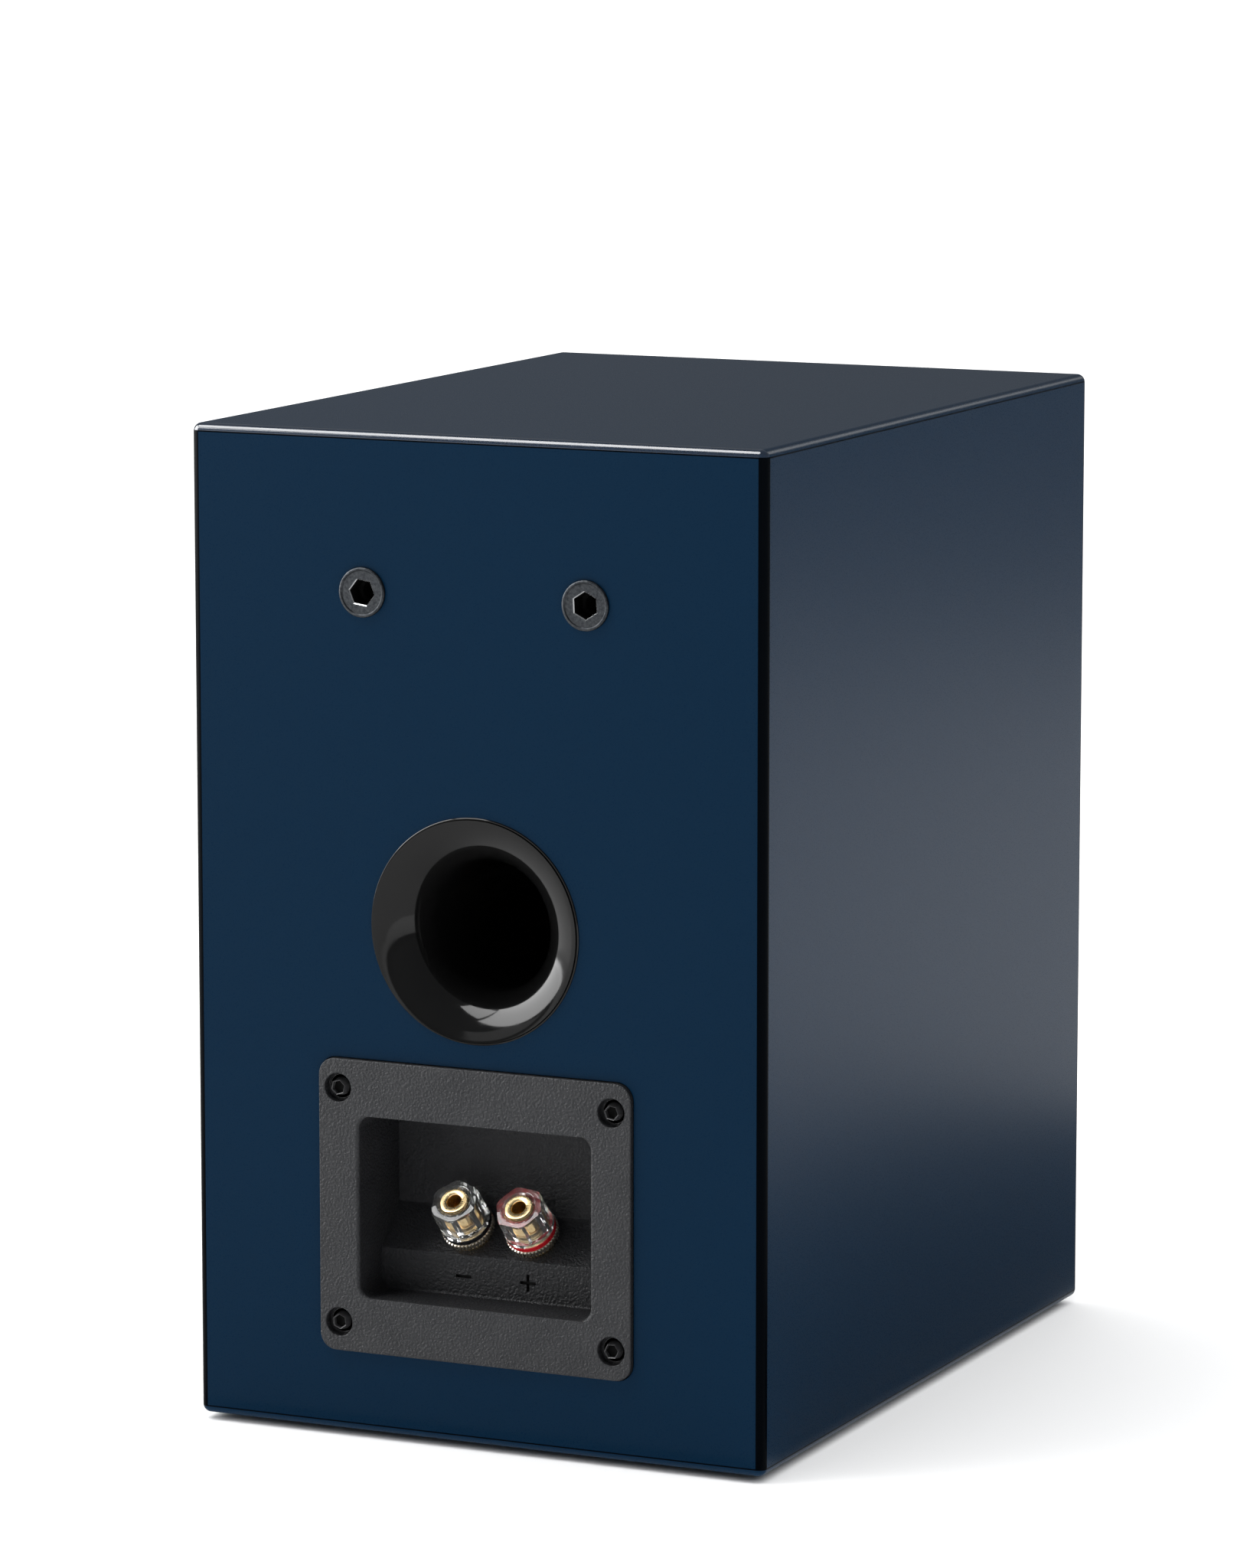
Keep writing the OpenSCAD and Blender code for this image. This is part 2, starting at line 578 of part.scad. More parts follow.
module tweeter_voice_coil() color("#b06a34") at_front(tweeter_z) rotate_extrude() polygon([
    [12.3, -9.8], [12.9, -9.8], [12.9, -6.2], [12.5, -6.2], [12.5, dome_z - 0.35], [12.3, dome_z - 0.35]]);
module tweeter_top_plate() color("#8f9193") at_front(tweeter_z) rotate_extrude() polygon([
    [13.4, -10], [30, -10], [30, -6], [19.6, -6], [19.6, dome_z - silk_t - 0.05],
    [16, dome_z - silk_t - 0.05], [16, -6], [13.4, -6]]);
module tweeter_magnet() color("#4b4a4a") at_front(tweeter_z) tube(16, 32, -20, -10);
module tweeter_yoke() color("#8f9193") at_front(tweeter_z) difference() {
    union() {
        disc(28, -24, -20);
        disc(11.9, -21, -6.2);
    }
    disc(3, -30, 0);
}
module tweeter_rear_cup() color("#222325") at_front(tweeter_z) rotate_extrude()
    polygon([[0, -42], [23, -42], [24, -41], [24, -24], [22, -24], [22, -40], [0, -40]]);
module tweeter_terminals() color("#c6a95c") at_front(tweeter_z) {
    block([-6, -33, -9.6], [6, -30.1, -6.6]);
    for (side = [-1, 1]) translate([side * 2.6, 0, 0]) block([-1.4, -33.6, -21], [1.4, -33, -8]);
}

// Crossover
module crossover_board() color("#8a6d3b") difference() {
    block([-board_x, board_y0, board_z], [board_x, board_y1, board_top]);
    for (x = [-1, 1], y = [board_y0 + 5, board_y1 - 5]) translate([x * (board_x - 5), y, 0]) disc(1.7, 0, 60);
}
module crossover_coils() color("#b5652f") {
    translate([-31, 52, board_top]) tube(9, 20, 0, 20);
    translate([33, 54, board_top]) tube(7, 16, 0, 15);
}
module lying(r, len, x, y) translate([x - len / 2, y, board_top + r])
    rotate([0, 90, 0]) cylinder(r = r, h = len);
module crossover_capacitors() color("#c8a23a") {
    lying(9, 38, -31, 16);
    lying(7, 30, -31, -2);
}
module crossover_resistors() color("#e3e0d6") {
    block([12, 24, board_top], [34, 34, board_top + 9]);
    block([12, 8, board_top], [34, 18, board_top + 9]);
}
module crossover_fixings() color("#9a9b9c") for (x = [-1, 1], y = [board_y0 + 5, board_y1 - 5])
    translate([x * (board_x - 5), y, 0]) {
        disc(3, room_floor, board_z);
        disc(1.6, board_z, board_top);
        disc(2.8, board_top, board_top + 2);
    }
module pair(route, r) for (side = [0, 1]) mirror([side, 0, 0]) wire(route, r);
module input_wires() color("#8c2320") pair(input_route, wire_r);
module woofer_wires() color("#8c2320") pair(woofer_route, wire_r);
module tweeter_wires() color("#8c2320") pair(tweeter_route, wire_r);

top_panel();
bottom_panel();
left_panel();
right_panel();
front_baffle();
back_panel();
cross_brace();
side_damping();
top_damping();
rubber_feet();
port_tube();
threaded_inserts();
terminal_cup();
terminal_gasket();
terminal_screws();
post_stud(1);  // post_stud_neg
post_stud(-1);  // post_stud_pos
clamp_nut(1);  // clamp_nut_neg
clamp_nut(-1);  // clamp_nut_pos
colour_ring(1, "#151515");  // colour_ring_neg
colour_ring(-1, "#a3212a");  // colour_ring_pos
clear_cap(1);  // clear_cap_neg
clear_cap(-1);  // clear_cap_pos
post_washers();
post_back_nuts();
solder_tags();
woofer_basket();
woofer_gasket();
woofer_screws();
woofer_surround();
woofer_cone();
woofer_dust_cap();
woofer_voice_coil();
woofer_spider();
woofer_top_plate();
woofer_magnet();
woofer_yoke();
woofer_terminals();
woofer_leads();
tweeter_faceplate();
tweeter_gasket();
tweeter_screws();
tweeter_dome();
tweeter_surround();
tweeter_voice_coil();
tweeter_top_plate();
tweeter_magnet();
tweeter_yoke();
tweeter_rear_cup();
tweeter_terminals();
crossover_board();
crossover_coils();
crossover_capacitors();
crossover_resistors();
crossover_fixings();
input_wires();
woofer_wires();
tweeter_wires();
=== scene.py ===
"""Looks of a rear-ported bookshelf loudspeaker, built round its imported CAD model."""
import math
import bmesh
import bpy
from mathutils import Matrix, Vector, noise


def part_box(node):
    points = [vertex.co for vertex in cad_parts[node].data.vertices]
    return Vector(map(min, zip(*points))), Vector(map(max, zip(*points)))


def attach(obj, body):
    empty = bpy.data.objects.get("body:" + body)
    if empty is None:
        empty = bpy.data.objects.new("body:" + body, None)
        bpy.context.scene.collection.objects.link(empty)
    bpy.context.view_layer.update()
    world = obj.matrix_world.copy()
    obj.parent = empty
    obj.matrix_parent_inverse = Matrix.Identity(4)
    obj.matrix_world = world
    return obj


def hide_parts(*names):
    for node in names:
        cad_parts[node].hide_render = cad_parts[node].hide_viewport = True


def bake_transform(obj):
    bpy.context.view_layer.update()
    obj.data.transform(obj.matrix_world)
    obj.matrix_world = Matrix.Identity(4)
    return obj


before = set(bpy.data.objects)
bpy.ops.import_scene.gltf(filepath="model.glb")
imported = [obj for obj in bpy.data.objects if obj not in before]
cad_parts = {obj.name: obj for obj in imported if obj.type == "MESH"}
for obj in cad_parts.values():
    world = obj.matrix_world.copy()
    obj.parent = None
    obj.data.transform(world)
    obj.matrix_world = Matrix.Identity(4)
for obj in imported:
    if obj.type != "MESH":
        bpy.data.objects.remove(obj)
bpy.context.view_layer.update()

MM = 0.001
scene = bpy.context.scene

# ---------------------------------------------------------------- camera, floor and light
CAMERA_PLACE = Vector((-0.8179, 1.7899, 0.4864))
CAMERA_AIM = Vector((0.4147, -0.8966, -0.1555))
CAMERA_LENS = 152.54


def add_camera():
    data = bpy.data.cameras.new("camera")
    data.lens = CAMERA_LENS
    data.sensor_width = 36.0
    data.clip_end = 100.0
    cam = bpy.data.objects.new("camera", data)
    cam.location = CAMERA_PLACE
    cam.rotation_euler = CAMERA_AIM.to_track_quat("-Z", "Y").to_euler()
    scene.collection.objects.link(cam)
    scene.camera = cam


def add_softbox(name, place, aim, width, height, watts, colour=(1, 1, 1)):
    data = bpy.data.lights.new(name, "AREA")
    data.shape = "RECTANGLE"
    data.size, data.size_y = width, height
    data.energy = watts
    data.color = colour
    lamp = bpy.data.objects.new(name, data)
    lamp.location = place
    lamp.rotation_euler = (Vector(aim) - Vector(place)).to_track_quat("-Z", "Y").to_euler()
    lamp.visible_camera = False
    scene.collection.objects.link(lamp)
    return lamp


def add_world():
    """Dim studio: a soft grey above the horizon, darker below it."""
    world = bpy.data.worlds.new("studio")
    world.use_nodes = True
    nodes, links = world.node_tree.nodes, world.node_tree.links
    split = nodes.new("ShaderNodeSeparateXYZ")
    links.new(nodes.new("ShaderNodeTexCoord").outputs["Generated"], split.inputs["Vector"])
    blend = nodes.new("ShaderNodeValToRGB")
    blend.color_ramp.elements[0].position = 0.46
    blend.color_ramp.elements[0].color = (0.03, 0.03, 0.03, 1)
    blend.color_ramp.elements[1].position = 0.56
    blend.color_ramp.elements[1].color = (0.22, 0.225, 0.23, 1)
    scale = nodes.new("ShaderNodeMapRange")
    scale.inputs["From Min"].default_value = -1.0
    links.new(split.outputs["Z"], scale.inputs["Value"])
    links.new(scale.outputs["Result"], blend.inputs["Fac"])
    links.new(blend.outputs["Color"], nodes["Background"].inputs["Color"])
    scene.world = world


def add_floor():
    half = 40.0
    corners = [(x, y, 0) for x, y in rectangle(-half, -half, half, half)]
    mesh = bpy.data.meshes.new("floor")
    mesh.from_pydata(corners, [], [(0, 1, 2, 3)])
    floor = bpy.data.objects.new("floor", mesh)
    scene.collection.objects.link(floor)
    mat = bpy.data.materials.new("pale_floor")
    mat.use_nodes = True
    shader = mat.node_tree.nodes["Principled BSDF"]
    shader.inputs["Base Color"].default_value = (0.85, 0.85, 0.85, 1)
    shader.inputs["Roughness"].default_value = 0.9
    mesh.materials.append(mat)
    return floor


def add_flag(name, place, wide, high, grey):
    """Studio flag that the camera does not see; the cabinet reflects it."""
    flag = prism(name, rectangle(-wide, 0, wide, high), 0, 4, place)
    mat = bpy.data.materials.new(name)
    mat.use_nodes = True
    mat.node_tree.nodes["Principled BSDF"].inputs["Base Color"].default_value = (grey, grey, grey, 1)
    flag.data.materials.append(mat)
    flag.visible_camera = False
    flag.visible_shadow = False
    flag.visible_diffuse = False
    return flag


def add_flags():
    """Stands one beyond the front, lays one along the side as painted shadow and one behind the back, and
    returns the last.
    """
    standing = axes(Vector((-0.8, -1.45, 0)), (0.908, -0.418, 0), (0, 0, 1), (-0.418, -0.908, 0))
    add_flag("standing_flag", standing, 900, 600, 0.3)
    # Painted shadow: a dark sheet where the cabinet shades the floor, seen only in the side panel's
    # reflection.
    lying = axes(Vector((-0.18, -0.38, 0.001)), (1, 0, 0), (0, 1, 0), (0, 0, 1))
    add_flag("floor_shadow_card", lying, 85, 480, 0.2)
    behind = axes(Vector((0.4, 0.13, 0.001)), (1, 0, 0), (0, 1, 0), (0, 0, 1))
    return add_flag("rear_flag", behind, 800, 2120, 0.5)


def light_floor(*pieces):
    """Even, very soft light that only the floor and the flag behind the back receive."""
    data = bpy.data.lights.new("floor_light", "SUN")
    data.energy = 4.1
    data.angle = 2.4
    lamp = bpy.data.objects.new("floor_light", data)
    scene.collection.objects.link(lamp)
    receivers = bpy.data.collections.new("floor_light_receivers")
    for piece in pieces:
        receivers.objects.link(piece)
    lamp.light_linking.receiver_collection = receivers


def add_studio():
    add_world()
    light_floor(add_floor(), add_flags())
    middle = Vector((0, 0.1, 0.17))
    add_softbox("key", (0.75, 0.55, 1.75), middle, 0.8, 0.8, 16)
    card = add_softbox("left_card", (1.15, 0.58, 0.66), middle, 1.15, 1.25, 42)
    card.visible_diffuse = False
    add_softbox("rear_fill", (1.5, 2.4, 0.75), middle, 0.9, 0.9, 2)
    add_softbox("front_fill", (-0.9, -2.4, 1.5), middle, 0.9, 0.9, 12)
    scene.view_settings.view_transform = "Standard"


# ---------------------------------------------------------------- places, from the frame
panel_low, panel_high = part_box("back_panel")
BACK_Y = panel_high.y
FRONT_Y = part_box("front_baffle")[0].y
CAB_LOW = Vector((panel_low.x, FRONT_Y, panel_low.z))
CAB_HIGH = panel_high
EDGE_R = 2.5


def centre(node):
    low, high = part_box(node)
    return (low + high) / 2


def half_width(node):
    low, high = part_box(node)
    return (high.x - low.x) / 2 / MM


def axes(place, x, y, z):
    """Matrix from a local frame in millimetres to the row frame in metres."""
    m = Matrix((x, y, z)).transposed().to_4x4() @ Matrix.Scale(MM, 4)
    m.translation = place
    return m


def at_back(x, z):
    return axes((x, BACK_Y, z), (1, 0, 0), (0, 0, -1), (0, 1, 0))


def at_front(z):
    return axes((0, FRONT_Y, z), (1, 0, 0), (0, 0, 1), (0, -1, 0))


SLOPE = math.sqrt(0.5)
AXIS = Vector((0, SLOPE, SLOPE))
RING_LOW, RING_HIGH = 4.65, 6.35  # the colour ring above the cup's sloping shelf


def at_post(sign):
    root = centre("colour_ring_" + sign) - AXIS * (RING_LOW + RING_HIGH) / 2 * MM
    return axes(root, (1, 0, 0), (0, SLOPE, -SLOPE), AXIS)


PORT = at_back(0, centre("port_tube").z)
WOOFER = at_front(centre("woofer_surround").z)
TWEETER = at_front(centre("tweeter_faceplate").z)
CUP = at_back(0, centre("terminal_gasket").z)

# ---------------------------------------------------------------- mesh helpers


def arc(cx, cy, r, start, end, steps=12):
    """Points of a circular arc, in degrees."""
    turn = [math.radians(start + (end - start) * i / steps) for i in range(steps + 1)]
    return [(cx + r * math.cos(a), cy + r * math.sin(a)) for a in turn]


def rounded(corners, steps=4):
    """Closed outline whose corners are (x, y) or (x, y, radius)."""
    out = []
    for i, corner in enumerate(corners):
        p = Vector(corner[:2])
        r = corner[2] if len(corner) > 2 else 0
        if not r:
            out.append(tuple(p))
            continue
        a = (Vector(corners[i - 1][:2]) - p).normalized()
        b = (Vector(corners[(i + 1) % len(corners)][:2]) - p).normalized()
        half = a.angle(b) / 2
        mid = p + (a + b).normalized() * (r / math.sin(half))
        first = p + a * (r / math.tan(half)) - mid
        last = p + b * (r / math.tan(half)) - mid
        start = math.atan2(first.y, first.x)
        sweep = (math.atan2(last.y, last.x) - start + math.pi) % math.tau - math.pi
        turn = [start + sweep * k / steps for k in range(steps + 1)]
        out += [(mid.x + r * math.cos(a), mid.y + r * math.sin(a)) for a in turn]
    return out


def rectangle(x0, y0, x1, y1):
    return [(x0, y0), (x1, y0), (x1, y1), (x0, y1)]


def round_rect(w, h, r, steps=8):
    """Outline of a rectangle with round corners, always with the same number of points."""
    return [p for cx, cy, a in ((1, 1, 0), (-1, 1, 90), (-1, -1, 180), (1, -1, 270))
            for p in arc(cx * (w / 2 - r), cy * (h / 2 - r), r, a, a + 90, steps)]


def shade(obj, angle=32.0, weighted=False):
    obj.data.shade_smooth()
    obj.data.set_sharp_from_angle(angle=math.radians(angle))
    if weighted:
        mod = obj.modifiers.new("even_normals", "WEIGHTED_NORMAL")
        mod.keep_sharp = True
    return obj


def from_bmesh(name, bm, place=None):
    bmesh.ops.recalc_face_normals(bm, faces=bm.faces)
    mesh = bpy.data.meshes.new(name)
    bm.to_mesh(mesh)
    bm.free()
    if place is not None:
        mesh.transform(place)
    obj = bpy.data.objects.new(name, mesh)
    scene.collection.objects.link(obj)
    return obj


def lathe(name, outline, place, segments=128, radius=None, angle=32.0):
    """Closed outline of (radius, height) turned round local Z; radius(a, r, z, tag) may shape it."""
    bm = bmesh.new()
    rings = []
    for point in outline:
        r, z = point[:2]
        tag = point[2] if len(point) > 2 else None
        if r < 1e-6:
            rings.append([bm.verts.new((0, 0, z))])
            continue
        turn = [math.tau * k / segments for k in range(segments)]
        size = [radius(a, r, z, tag) if radius and tag else r for a in turn]
        rings.append([bm.verts.new((s * math.cos(a), s * math.sin(a), z)) for s, a in zip(size, turn)])
    for i, low in enumerate(rings):
        high = rings[(i + 1) % len(rings)]
        for k in range(segments):
            n = (k + 1) % segments
            if len(low) > 1 and len(high) > 1:
                bm.faces.new((low[k], low[n], high[n], high[k]))
            elif len(low) > 1:
                bm.faces.new((low[k], low[n], high[0]))
            elif len(high) > 1:
                bm.faces.new((low[0], high[n], high[k]))
    return shade(from_bmesh(name, bm, place), angle)


def loft(name, rings, place=None):
    """Solid through rings of as many points each, closed by flat ends."""
    bm = bmesh.new()
    made = [[bm.verts.new(p) for p in ring] for ring in rings]
    n = len(rings[0])
    for low, high in zip(made, made[1:]):
        for k in range(n):
            bm.faces.new((low[k], low[(k + 1) % n], high[(k + 1) % n], high[k]))
    bm.faces.new(made[0])
    bm.faces.new(made[-1])
    return from_bmesh(name, bm, place)


def prism(name, outline, low, high, place=None):
    return loft(name, [[(x, y, z) for x, y in outline] for z in (low, high)], place)


def cylinder(name, r, low, high, place, segments=128):
    return prism(name, arc(0, 0, r, 0, 360 * (1 - 1 / segments), segments - 1), low, high, place)


def block(low, high):
    """Plain block between two corners, still to be shaped."""
    bm = bmesh.new()
    bmesh.ops.create_cube(bm, size=1.0)
    size, mid = high - low, (high + low) / 2
    for v in bm.verts:
        v.co = Vector(a * b for a, b in zip(v.co, size)) + mid
    return bm


def carve(obj, cutters, operation="DIFFERENCE"):
    """Cuts, joins or intersects with other solids, which are used up."""
    for cutter in cutters:
        mod = obj.modifiers.new("carve", "BOOLEAN")
        mod.operation = operation
        mod.solver = "EXACT"
        mod.object = cutter
        shape = obj.evaluated_get(bpy.context.evaluated_depsgraph_get())
        mesh = bpy.data.meshes.new_from_object(shape)
        obj.modifiers.clear()
        obj.data = mesh
        bpy.data.objects.remove(cutter)
    return obj


def hexagon(a, r, *_):
    """Radius of a hexagon at angle a, for half its width across flats."""
    return r / math.cos((a + math.pi / 6) % (math.pi / 3) - math.pi / 6)


def ribs(root, crest, start, pitch, count, rise, flat):
    """Outline of the ribs that stand for a screw thread, from height start on."""
    out = []
    for k in range(count):
        z = start + pitch * k
        out += [(root, z), (crest, z + rise), (crest, z + rise + flat)]
    return out


# ---------------------------------------------------------------- materials


def new_material(name):
    mat = bpy.data.materials.new(name)
    mat.use_nodes = True
    nodes, links = mat.node_tree.nodes, mat.node_tree.links
    shader = nodes["Principled BSDF"]
    where = nodes.new("ShaderNodeTexCoord").outputs["Object"]
    return mat, nodes, links, shader, where


def add_noise(nodes, links, where, scale, detail=3.0, stretch=None):
    if stretch:
        mapping = nodes.new("ShaderNodeMapping")
        mapping.inputs["Scale"].default_value = stretch
        links.new(where, mapping.inputs["Vector"])
        where = mapping.outputs["Vector"]
    tex = nodes.new("ShaderNodeTexNoise")
    tex.inputs["Scale"].default_value = scale
    tex.inputs["Detail"].default_value = detail
    links.new(where, tex.inputs["Vector"])
    return tex.outputs["Fac"]


def ramp(nodes, links, value, low, high, dark, light):
    """Maps a value between low and high to a colour or a number between dark and light."""
    node = nodes.new("ShaderNodeMapRange" if isinstance(dark, float) else "ShaderNodeValToRGB")
    if isinstance(dark, float):
        for key, number in zip(("From Min", "From Max", "To Min", "To Max"), (low, high, dark, light)):
            node.inputs[key].default_value = number
        links.new(value, node.inputs["Value"])
        return node.outputs["Result"]
    first, last = node.color_ramp.elements
    first.position, last.position = low, high
    first.color, last.color = (*dark, 1), (*light, 1)
    links.new(value, node.inputs["Fac"])
    return node.outputs["Color"]


def grained(name, dark, light, rough=(0.4, 0.5), grain=900.0, bump=0.1, depth=0.0002, mottle=60.0,
            metal=0.0, stretch=None, specular=0.5, coat=0.0, coat_rough=0.1, sheen=0.0):
    """Material with mottled colour, uneven roughness and a fine raised grain."""
    mat, nodes, links, shader, where = new_material(name)
    coarse = add_noise(nodes, links, where, mottle, 4.0, stretch)
    fine = add_noise(nodes, links, where, grain, 2.0, stretch)
    links.new(ramp(nodes, links, coarse, 0.3, 0.7, dark, light), shader.inputs["Base Color"])
    links.new(ramp(nodes, links, fine, 0.3, 0.7, *rough), shader.inputs["Roughness"])
    lift = nodes.new("ShaderNodeBump")
    lift.inputs["Strength"].default_value = bump
    lift.inputs["Distance"].default_value = depth
    links.new(fine, lift.inputs["Height"])
    links.new(lift.outputs["Normal"], shader.inputs["Normal"])
    shader.inputs["Metallic"].default_value = metal
    shader.inputs["Specular IOR Level"].default_value = specular
    shader.inputs["Coat Weight"].default_value = coat
    shader.inputs["Coat Roughness"].default_value = coat_rough
    shader.inputs["Sheen Weight"].default_value = sheen
    return mat


def clear_material():
    mat, nodes, links, shader, where = new_material("clear_polycarbonate")
    haze = add_noise(nodes, links, where, 700.0, 2.0)
    links.new(ramp(nodes, links, haze, 0.3, 0.7, 0.015, 0.06), shader.inputs["Roughness"])
    shader.inputs["Base Color"].default_value = (0.97, 0.975, 0.97, 1)
    shader.inputs["Transmission Weight"].default_value = 0.965
    shader.inputs["IOR"].default_value = 1.5
    return mat


LACQUER = grained("blue_black_lacquer", (0.0013, 0.0190, 0.048), (0.0015, 0.0200, 0.050), (0.26, 0.32),
                  2600.0, 0.05, 0.00005, 3.0, specular=0.06)
# Painted shade: a much darker copy of the lacquer, laid on the upright edges only.
LACQUER_SHADE = grained("lacquer_edge_painted_shade", (0.0002, 0.0010, 0.0022), (0.0003, 0.0012, 0.0025), (0.26, 0.32),
                    2600.0, 0.05, 0.00005, 3.0, specular=0.02)
# Painted highlight: a glossier, coated copy of the lacquer, laid on the upper back edge only.
LACQUER_HIGHLIGHT = grained("lacquer_edge_painted_highlight", (0.004, 0.018, 0.044), (0.005, 0.020, 0.048), (0.14, 0.2),
                   2600.0, 0.03, 0.00005, 3.0, coat=1.0, coat_rough=0.12)
MDF = grained("raw_mdf", (0.36, 0.25, 0.14), (0.50, 0.37, 0.22), (0.8, 0.9), 1800.0, 0.3, 0.0002, 220.0)
GLOSS_BLACK = grained("gloss_black_plastic", (0.004, 0.004, 0.004), (0.006, 0.006, 0.006), (0.07, 0.11),
                      500.0, 0.02, 0.00005, 30.0, specular=0.28)
CUP_PLASTIC = grained("grained_black_plastic", (0.030, 0.031, 0.034), (0.039, 0.040, 0.043), (0.4, 0.6),
                      1300.0, 1.0, 0.0004, 90.0, specular=0.2)
# Painted shade: a darker copy of the cup's plastic for everything below the plate's face.
CUP_RECESS_SHADE = grained("black_plastic_recess_painted_shade", (0.020, 0.0205, 0.0225), (0.026, 0.0265, 0.029), (0.4, 0.6),
                    1300.0, 1.0, 0.0004, 90.0, specular=0.2)
BLACK_ZINC = grained("black_zinc", (0.020, 0.023, 0.027), (0.060, 0.064, 0.069), (0.3, 0.5), 3200.0, 0.3,
                     0.00006, 1300.0, metal=0.9)
# Painted highlight: a bright, coated copy of the black zinc for the inserts' hexagon edge.
INSERT_EDGE_HIGHLIGHT = grained("black_zinc_painted_highlight", (0.30, 0.31, 0.32), (0.40, 0.41, 0.42), (0.12, 0.2), 2400.0, 0.02,
                     0.00005, 500.0, metal=0.8, coat=1.0, coat_rough=0.08)
# Painted shade: near-black for the floors and walls of holes, sockets and engraved grooves.
HOLLOW_SHADE = grained("painted_shade_black", (0.003, 0.003, 0.003), (0.005, 0.005, 0.005), (0.6, 0.8), 1200.0, 0.05,
                     0.00005, 200.0, specular=0.08)
BLACK_STEEL = grained("black_oxide_steel", (0.050, 0.050, 0.052), (0.075, 0.075, 0.078), (0.28, 0.42), 2400.0,
                      0.15, 0.00005, 500.0, metal=0.0)
GOLD = grained("gold_plate", (0.86, 0.62, 0.30), (0.95, 0.74, 0.42), (0.16, 0.28), 2600.0, 0.12, 0.00004,
               500.0, metal=1.0)
PALE_GOLD = grained("pale_gold_plate", (0.80, 0.73, 0.62), (0.90, 0.84, 0.74), (0.24, 0.36), 2600.0, 0.15,
                    0.00004, 500.0, metal=1.0)
RING_BLACK = grained("black_nylon", (0.006, 0.006, 0.007), (0.010, 0.010, 0.011), (0.25, 0.35), 2000.0, 0.1,
                     0.00004, 200.0)
RING_RED = grained("red_nylon", (0.42, 0.006, 0.012), (0.52, 0.010, 0.018), (0.22, 0.32), 2000.0, 0.1,
                   0.00004, 200.0)
CLEAR = clear_material()
RUBBER = grained("matt_rubber", (0.012, 0.012, 0.012), (0.022, 0.022, 0.022), (0.6, 0.8), 1500.0, 0.3,
                 0.0001, 200.0)
SEAL_FOAM = grained("seal_foam", (0.01, 0.01, 0.011), (0.03, 0.03, 0.032), (0.85, 0.95), 2200.0, 0.6, 0.0002,
                    400.0)
SOFT_RUBBER = grained("butyl_rubber", (0.010, 0.010, 0.011), (0.016, 0.016, 0.017), (0.42, 0.55), 900.0, 0.12,
                      0.0001, 60.0, specular=0.35)
CONE_PAPER = grained("coated_pulp", (0.022, 0.023, 0.026), (0.045, 0.046, 0.050), (0.5, 0.7), 1100.0, 0.5,
                     0.0003, 160.0)
POWDER_COAT = grained("black_powder_coat", (0.010, 0.010, 0.011), (0.019, 0.019, 0.020), (0.42, 0.58), 1900.0,
                      0.45, 0.00015, 120.0, specular=0.32)
SATIN_BLACK = grained("satin_black_plastic", (0.012, 0.012, 0.013), (0.018, 0.018, 0.019), (0.34, 0.44),
                      2200.0, 0.25, 0.00008, 90.0, specular=0.32)
SILK = grained("coated_silk", (0.012, 0.012, 0.013), (0.022, 0.022, 0.024), (0.55, 0.7), 4200.0, 0.35,
               0.00008, 300.0, sheen=0.2)
COPPER = grained("enamelled_copper", (0.50, 0.16, 0.06), (0.72, 0.30, 0.13), (0.22, 0.35), 1500.0, 0.5,
                 0.0003, 200.0, metal=1.0, stretch=(1, 1, 3))
CLOTH = grained("treated_cloth", (0.36, 0.18, 0.05), (0.56, 0.32, 0.10), (0.7, 0.85), 2600.0, 0.7, 0.0003,
                150.0)
ZINC_STEEL = grained("zinc_plated_steel", (0.42, 0.43, 0.45), (0.58, 0.59, 0.60), (0.28, 0.42), 1800.0, 0.12,
                     0.00006, 140.0, metal=1.0)
FERRITE = grained("ferrite", (0.022, 0.021, 0.021), (0.05, 0.048, 0.046), (0.55, 0.7), 1300.0, 0.5, 0.0003,
                  200.0)
TINNED = grained("tinned_brass", (0.62, 0.62, 0.60), (0.78, 0.78, 0.75), (0.28, 0.4), 1800.0, 0.15, 0.00006,
                 250.0, metal=1.0)
BOARD = grained("phenolic_board", (0.22, 0.13, 0.05), (0.34, 0.22, 0.09), (0.5, 0.65), 900.0, 0.2, 0.0001,
                180.0)
FILM_WRAP = grained("yellow_film_wrap", (0.62, 0.38, 0.05), (0.72, 0.47, 0.08), (0.25, 0.35), 900.0, 0.15,
                    0.0001, 120.0)
CEMENT = grained("cast_cement", (0.66, 0.63, 0.56), (0.80, 0.78, 0.72), (0.75, 0.9), 1500.0, 0.5, 0.0002,
                 200.0)
PVC_RED = grained("red_pvc", (0.34, 0.012, 0.012), (0.44, 0.02, 0.02), (0.35, 0.5), 900.0, 0.2, 0.0001, 90.0)
PVC_BLACK = grained("black_pvc", (0.010, 0.010, 0.010), (0.018, 0.018, 0.018), (0.35, 0.5), 900.0, 0.2,
                    0.0001, 90.0)
FELT = grained("polyester_felt", (0.10, 0.10, 0.105), (0.24, 0.24, 0.25), (0.9, 1.0), 1400.0, 1.0, 0.0006,
               260.0, sheen=0.4)


def dress(obj, mat, body, slot_name, *nodes):
    """Gives a piece its material, its body and the CAD nodes that it stands for; slot_name is not used."""
    if mat is not None:
        obj.data.materials.clear()
        obj.data.materials.append(mat)
    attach(obj, body)
    if nodes:
        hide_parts(*nodes)
    return obj


def paint(obj, mats, place, choose):
    """Adds materials; choose(spot) picks one for each face by its centre in place's millimetres."""
    for mat in mats:
        obj.data.materials.append(mat)
    to_place = place.inverted()
    for face in obj.data.polygons:
        face.material_index = choose(to_place @ face.center)


